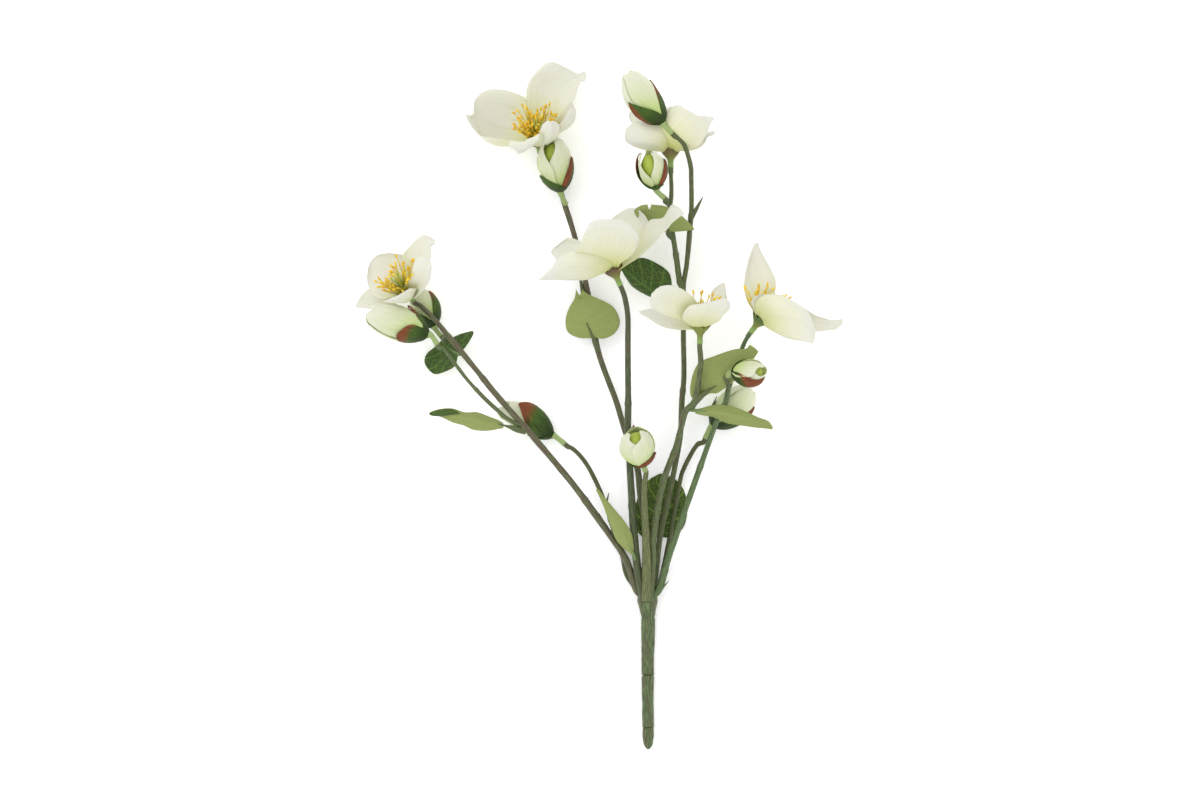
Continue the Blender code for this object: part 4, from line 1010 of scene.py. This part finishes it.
def build_stem(name, stem):
    """A moulded stem with collars at its knots, its end filled out into the neck, and bracts."""
    seed = name_seed(name)
    curve = spline(stem_path(stem), 10)
    distances = distances_along(curve)
    total = distances[-1]
    low, high = stem["radii"]
    radii = []
    for distance in distances:
        radius = low + (high - low) * distance / total
        # A ring at each knot, and a thicker sleeve before it.
        for knot in stem["knots"]:
            reach = (distance - knot * total) / MM
            radius += 0.32 * math.exp(-(reach / 1.5)**2)
            radius += 0.14 * smoothstep(3, -3, reach) * smoothstep(-26, -18, reach)
        radius += 0.06 * noise_at(distance * 60, seed, 0)
        if total - distance < 4 * MM:
            radius = max(radius, NECK_RADIUS)
        radii.append(radius)
    shape = Shape()
    shape.add_tube(curve, radii, 16, knobs=0.12, seed=seed)
    for owner, foot, tip, width in BRACTS:
        if owner == name:
            start, end = at(*foot), at(*tip)
            spike = spline([start, start.lerp(end, 0.5) + UP * 0.4 * MM, end], 5)
            widths = [width * (1 - 0.85 * share**1.4) for share in shares(len(spike) - 1)]
            shape.add_tube(spike, widths, 8, knobs=0.1, seed=seed + 5)
    shape.piece(name + "_moulded", name, [name if name in STEM_LOOKS else "twig"])


def build_trunk():
    """The ridged trunk, with a short sleeve at the crown for each stem."""
    curve = spline([at(*step[:3]) for step in TRUNK_PATH], 8)
    sizes = spline([Vector((step[3], 0, 0)) for step in TRUNK_PATH], 8)
    shape = Shape()
    shape.add_tube(curve, [size.x for size in sizes], 28, knobs=0.38, seed=2)
    for number, stem in enumerate(STEMS.values()):
        if "crown" not in stem:
            continue
        points = stem_path(stem)
        root = at(*CROWN_ROOT).lerp(points[0], 0.55)
        line = spline([root, points[0], points[1], points[1].lerp(points[2], 0.1)], 5)
        radii = [2.7 - 0.45 * share for share in shares(len(line) - 1)]
        shape.add_tube(line, radii, 16, knobs=0.2, seed=40 + number)
    shape.piece("trunk_moulded", "trunk", ["trunk"])


def rgb(red, green, blue):
    """The linear colour of a surface that shows as these screen values in the studio's light."""
    def linear(value):
        value /= 255
        return (value / 12.92 if value <= 0.04045 else ((value + 0.055) / 1.055)**2.4) / LIGHT_LEVEL
    return (linear(red), linear(green), linear(blue), 1)


class Look:
    """A material in the making, with short forms for the nodes that it is made of."""

    def __init__(self, name, roughness, **inputs):
        self.material = bpy.data.materials.new(name)
        self.material.use_nodes = True
        self.tree = self.material.node_tree
        self.shader = self.tree.nodes["Principled BSDF"]
        self.fill(self.shader, {"Roughness": roughness})
        self.fill(self.shader, {key.replace("_", " "): value for key, value in inputs.items()})

    def fill(self, node, inputs):
        """Gives each named input of a node its link or its value."""
        for key, value in inputs.items():
            if isinstance(value, bpy.types.NodeSocket):
                self.tree.links.new(value, node.inputs[key])
            else:
                node.inputs[key].default_value = value

    def add(self, kind, inputs, **settings):
        node = self.tree.nodes.new("ShaderNode" + kind)
        for key, value in settings.items():
            setattr(node, key, value)
        self.fill(node, inputs)
        return node

    def mark(self, name):
        return self.add("Attribute", {}, attribute_name=name).outputs["Fac"]

    def maths(self, operation, first, second=0.0):
        return self.add("Math", {0: first, 1: second}, operation=operation).outputs[0]

    def times(self, first, second):
        return self.maths("MULTIPLY", first, second)

    def plus(self, first, second):
        return self.maths("ADD", first, second)

    def minus(self, first, second):
        return self.maths("SUBTRACT", first, second)

    def size(self, value):
        return self.maths("ABSOLUTE", value)

    def place(self, across, along):
        """A place on the unrolled piece: its marks, each times a scale."""
        sides = {0: self.times(self.mark("across"), across), 1: self.times(self.mark("along"), along)}
        return self.add("CombineXYZ", sides).outputs[0]

    def noise(self, scale, detail, place=None, output="Fac"):
        inputs = {} if place is None else {"Vector": place}
        return self.add("TexNoise", {**inputs, "Scale": scale, "Detail": detail}).outputs[output]

    def ramp(self, factor, stops):
        """Colours along a factor, as three screen values each, or as four linear ones."""
        node = self.add("ValToRGB", {"Fac": factor})
        elements = node.color_ramp.elements
        while len(elements) < len(stops):
            elements.new(0.5)
        for element, (position, colour) in zip(elements, stops):
            element.position = position
            element.color = rgb(*colour) if len(colour) == 3 else colour
        return node.outputs["Color"]

    def mix(self, factor, first, second, blend="MIX"):
        inputs = {0: factor, 6: first, 7: second}
        return self.add("Mix", inputs, data_type="RGBA", blend_type=blend).outputs[2]

    def done(self, colour, height, strength, distance):
        """Gives the shader its colour and bump, and returns the material."""
        relief = self.add("Bump", {"Height": height, "Strength": strength, "Distance": distance})
        self.fill(self.shader, {"Base Color": colour, "Normal": relief.outputs["Normal"]})
        return self.material


def petal_material(name, rib, stops):
    """Thin white fabric, tinted towards its base, with fine veins that fan out to the edge."""
    look = Look(name, 0.75, Subsurface_Weight=0.35, Subsurface_Radius=(1.0, 0.95, 0.75),
                Subsurface_Scale=0.0015, Sheen_Weight=0.15)
    veins = look.noise(2.2, 3.0, look.place(9.0, 1.6))
    reach = look.plus(look.mark("along"), look.times(look.minus(veins, 0.5), 0.35))
    reach = look.plus(reach, look.times(look.size(look.mark("across")), rib))
    shade = look.ramp(veins, [(0.3, (0.955, 0.955, 0.93, 1)), (0.62, WHITE)])
    mottle = look.ramp(look.noise(90.0, 2.0), [(0.3, (0.965, 0.965, 0.95, 1)), (0.7, WHITE)])
    colour = look.mix(1.0, look.mix(1.0, look.ramp(reach, stops), shade, "MULTIPLY"), mottle, "MULTIPLY")
    height = look.plus(veins, look.times(look.noise(1500.0, 2.0), 0.25))
    return look.done(colour, height, 0.35, 0.0006)


def plain_material(name, scale, roughness, by, stops, strength=0.3):
    """Noise-coloured material. With by, its colours run along that mark instead."""
    look = Look(name, roughness)
    grain = look.noise(scale, 4.0)
    factor = grain
    if by:
        factor = look.plus(look.mark(by), look.times(look.minus(grain, 0.5), 0.5))
    return look.done(look.ramp(factor, stops), grain, strength, 0.0003)


def stem_material(name, tone, browns, amount, slope, turn, roughness):
    """Moulded plastic: green with a painted highlight on its ridges and painted shade in its furrows, with
    brown streaks that run along it.
    """
    look = Look(name, roughness, Specular_IOR_Level=0.35)
    # Dark, mid and pale greens: painted shade in the furrows and a painted highlight on the ridges.
    greens_with_painted_light = [[min(255, value * light) for value in tone] for light in (0.7, 1.0, 1.42)]
    streak = look.noise(1.0, 3.0, look.place(1.3, 55.0))
    patch = look.noise(28.0, 2.0)
    fine = look.noise(1.0, 4.0, look.place(5.0, 160.0))
    # The green follows the fine noise that also raises the bump: paler on the ridges as a painted
    # highlight, darker in the furrows as painted shade.
    green = look.ramp(fine, list(zip((0.3, 0.5, 0.72), greens_with_painted_light)))
    brown = look.ramp(fine, list(zip((0.3, 0.7), browns)))
    both = look.plus(look.times(streak, 0.6), look.times(patch, 0.4))
    both = look.plus(both, look.times(look.minus(look.mark("along"), turn), slope))
    share = look.ramp(both, [(amount, BLACK), (amount + 0.1, WHITE)])
    height = look.plus(streak, look.times(fine, 0.6))
    return look.done(look.mix(share, green, brown), height, 0.6, 0.0006)


def sepal_material(name):
    """Printed green fabric that turns red brown towards the tip and the edges, with painted shade at its
    foot.
    """
    look = Look(name, 0.6, Specular_IOR_Level=0.25)
    grain = look.noise(2.0, 4.0, look.place(7.0, 2.0))
    green = look.ramp(grain, SEPAL_GREENS)
    red = look.ramp(grain, SEPAL_REDS)
    rim = look.times(look.maths("POWER", look.size(look.mark("across")), 6.0), 0.14)
    reach = look.plus(look.plus(look.mark("tint"), rim), look.times(grain, 0.3))
    share = look.ramp(reach, [(0.68, BLACK), (0.92, WHITE)])
    # Each sepal is darkened at its foot, where it tucks against the neck under the bud: painted shade.
    foot = look.ramp(look.mark("along"), [(0.1, (26, 46, 20)), (0.55, WHITE)])
    foot_with_painted_shade = look.mix(0.6, green, look.mix(1.0, green, foot, "MULTIPLY"))
    return look.done(look.mix(share, foot_with_painted_shade, red), grain, 0.5, 0.0004)


def leaf_material(name, dark, light, vein, vein_share, roughness, mesh):
    """Printed leaf: side veins that slant to the edge, a net of small veins between them."""
    look = Look(name, roughness, Specular_IOR_Level=0.25, Subsurface_Weight=0.1,
                Subsurface_Scale=0.001)
    side = look.size(look.mark("across"))
    slant = look.minus(look.times(look.mark("along"), 6.0), look.times(side, 1.5))
    wave = look.size(look.minus(look.maths("FRACT", slant), 0.5))
    main_vein = look.ramp(wave, [(0.43, BLACK), (0.48, WHITE)])
    rib = look.ramp(side, [(0.02, WHITE), (0.05, BLACK)])
    cell_place = look.place(4.2, 6.5)
    warp = look.noise(2.0, 2.0, cell_place, "Color")
    bent = look.add("Mix", {0: 0.22, 4: cell_place, 5: warp}, data_type="VECTOR").outputs[1]
    cells = look.add("TexVoronoi", {"Vector": bent, "Scale": mesh}, feature="DISTANCE_TO_EDGE")
    net = look.ramp(cells.outputs["Distance"], [(0.02, WHITE), (0.09, BLACK)])
    grain = look.noise(260.0, 4.0)
    ground = look.ramp(grain, [(0.32, dark), (0.7, light)])
    lines = look.mix(1.0, look.mix(1.0, main_vein, rib, "ADD"), look.mix(0.7, BLACK, net), "ADD")
    amount = look.times(look.maths("MINIMUM", lines, 1.0), vein_share)
    height = look.plus(look.times(lines, -0.6), look.times(grain, 0.5))
    return look.done(look.mix(amount, ground, rgb(*vein)), height, 0.5, 0.0004)


def make_materials():
    """Every look, by its name."""
    made = {"sepal": sepal_material("sepal")}
    for name, (rib, stops) in PETAL_LOOKS.items():
        made[name] = petal_material(name, rib, stops)
    for name, (tone, amount, slope, turn) in STEM_LOOKS.items():
        made[name] = stem_material(name, tone, STEM_BROWNS, amount, slope, turn, roughness=0.42)
    made["trunk"] = stem_material("trunk", TRUNK_GREEN, TRUNK_BROWNS, amount=0.5, slope=0.0, turn=0.0,
                                  roughness=0.5)
    for name, values in LEAF_LOOKS.items():
        made[name] = leaf_material(name, *values)
    for name, values in PLAIN_LOOKS.items():
        made[name] = plain_material(name, *values)
    for name, flower in FLOWERS.items():
        stops = NECK_STOPS + [(0.78, flower["calyx"]), (0.98, flower["rim"])]
        made[name + "_calyx"] = plain_material(name + "_calyx", scale=320.0, roughness=0.55,
                                               by="along", stops=stops)
    return made


def build_stage():
    """A glowing white floor, even light from all sides, two soft lamps and the camera."""
    mesh = bpy.data.meshes.new("floor")
    corners = [(x * FLOOR_HALF, y * FLOOR_HALF, 0) for x, y in ((-1, -1), (1, -1), (1, 1), (-1, 1))]
    mesh.from_pydata(corners, [], [(0, 1, 2, 3)])
    mesh.materials.append(MATERIALS["floor"])
    glow = MATERIALS["floor"].node_tree.nodes["Principled BSDF"].inputs
    glow["Emission Color"].default_value = WHITE
    glow["Emission Strength"].default_value = FLOOR_GLOW
    show("floor", mesh)

    scene = bpy.context.scene
    scene.view_settings.view_transform = "Standard"
    scene.world = bpy.data.worlds.new("studio")
    scene.world.use_nodes = True
    sky = scene.world.node_tree.nodes["Background"].inputs
    sky["Color"].default_value = WHITE
    sky["Strength"].default_value = SKY_LEVEL

    for name, place, size, power in LAMPS:
        light = bpy.data.lights.new(name, "AREA")
        light.size = size
        light.energy = power
        lamp = show(name, light)
        lamp.location = place
        lamp.rotation_euler = (-Vector(place)).to_track_quat("-Z", "Y").to_euler()

    camera = bpy.data.cameras.new("camera")
    camera.sensor_width = SENSOR_WIDTH
    camera.lens = SENSOR_WIDTH * CAMERA_HEIGHT / (IMAGE_WIDTH * PLAN_UNIT)
    camera.clip_end = CAMERA_REACH
    scene.camera = show("camera", camera)
    scene.camera.location = at(*IMAGE_CENTRE, 0) + UP * CAMERA_HEIGHT


MATERIALS = make_materials()
build_stage()
build_trunk()
for stem_name, stem_data in STEMS.items():
    build_stem(stem_name, stem_data)
for flower_name, flower_data in FLOWERS.items():
    build_petals(flower_name, flower_data)
    build_stamens(flower_name, flower_data)
    build_calyx(flower_name, flower_data)
for bud_name, bud_data in BUDS.items():
    build_bud(bud_name, bud_data)
for leaf_name, leaf_data in LEAVES.items():
    build_leaf(leaf_name, leaf_data)

bpy.context.view_layer.update()
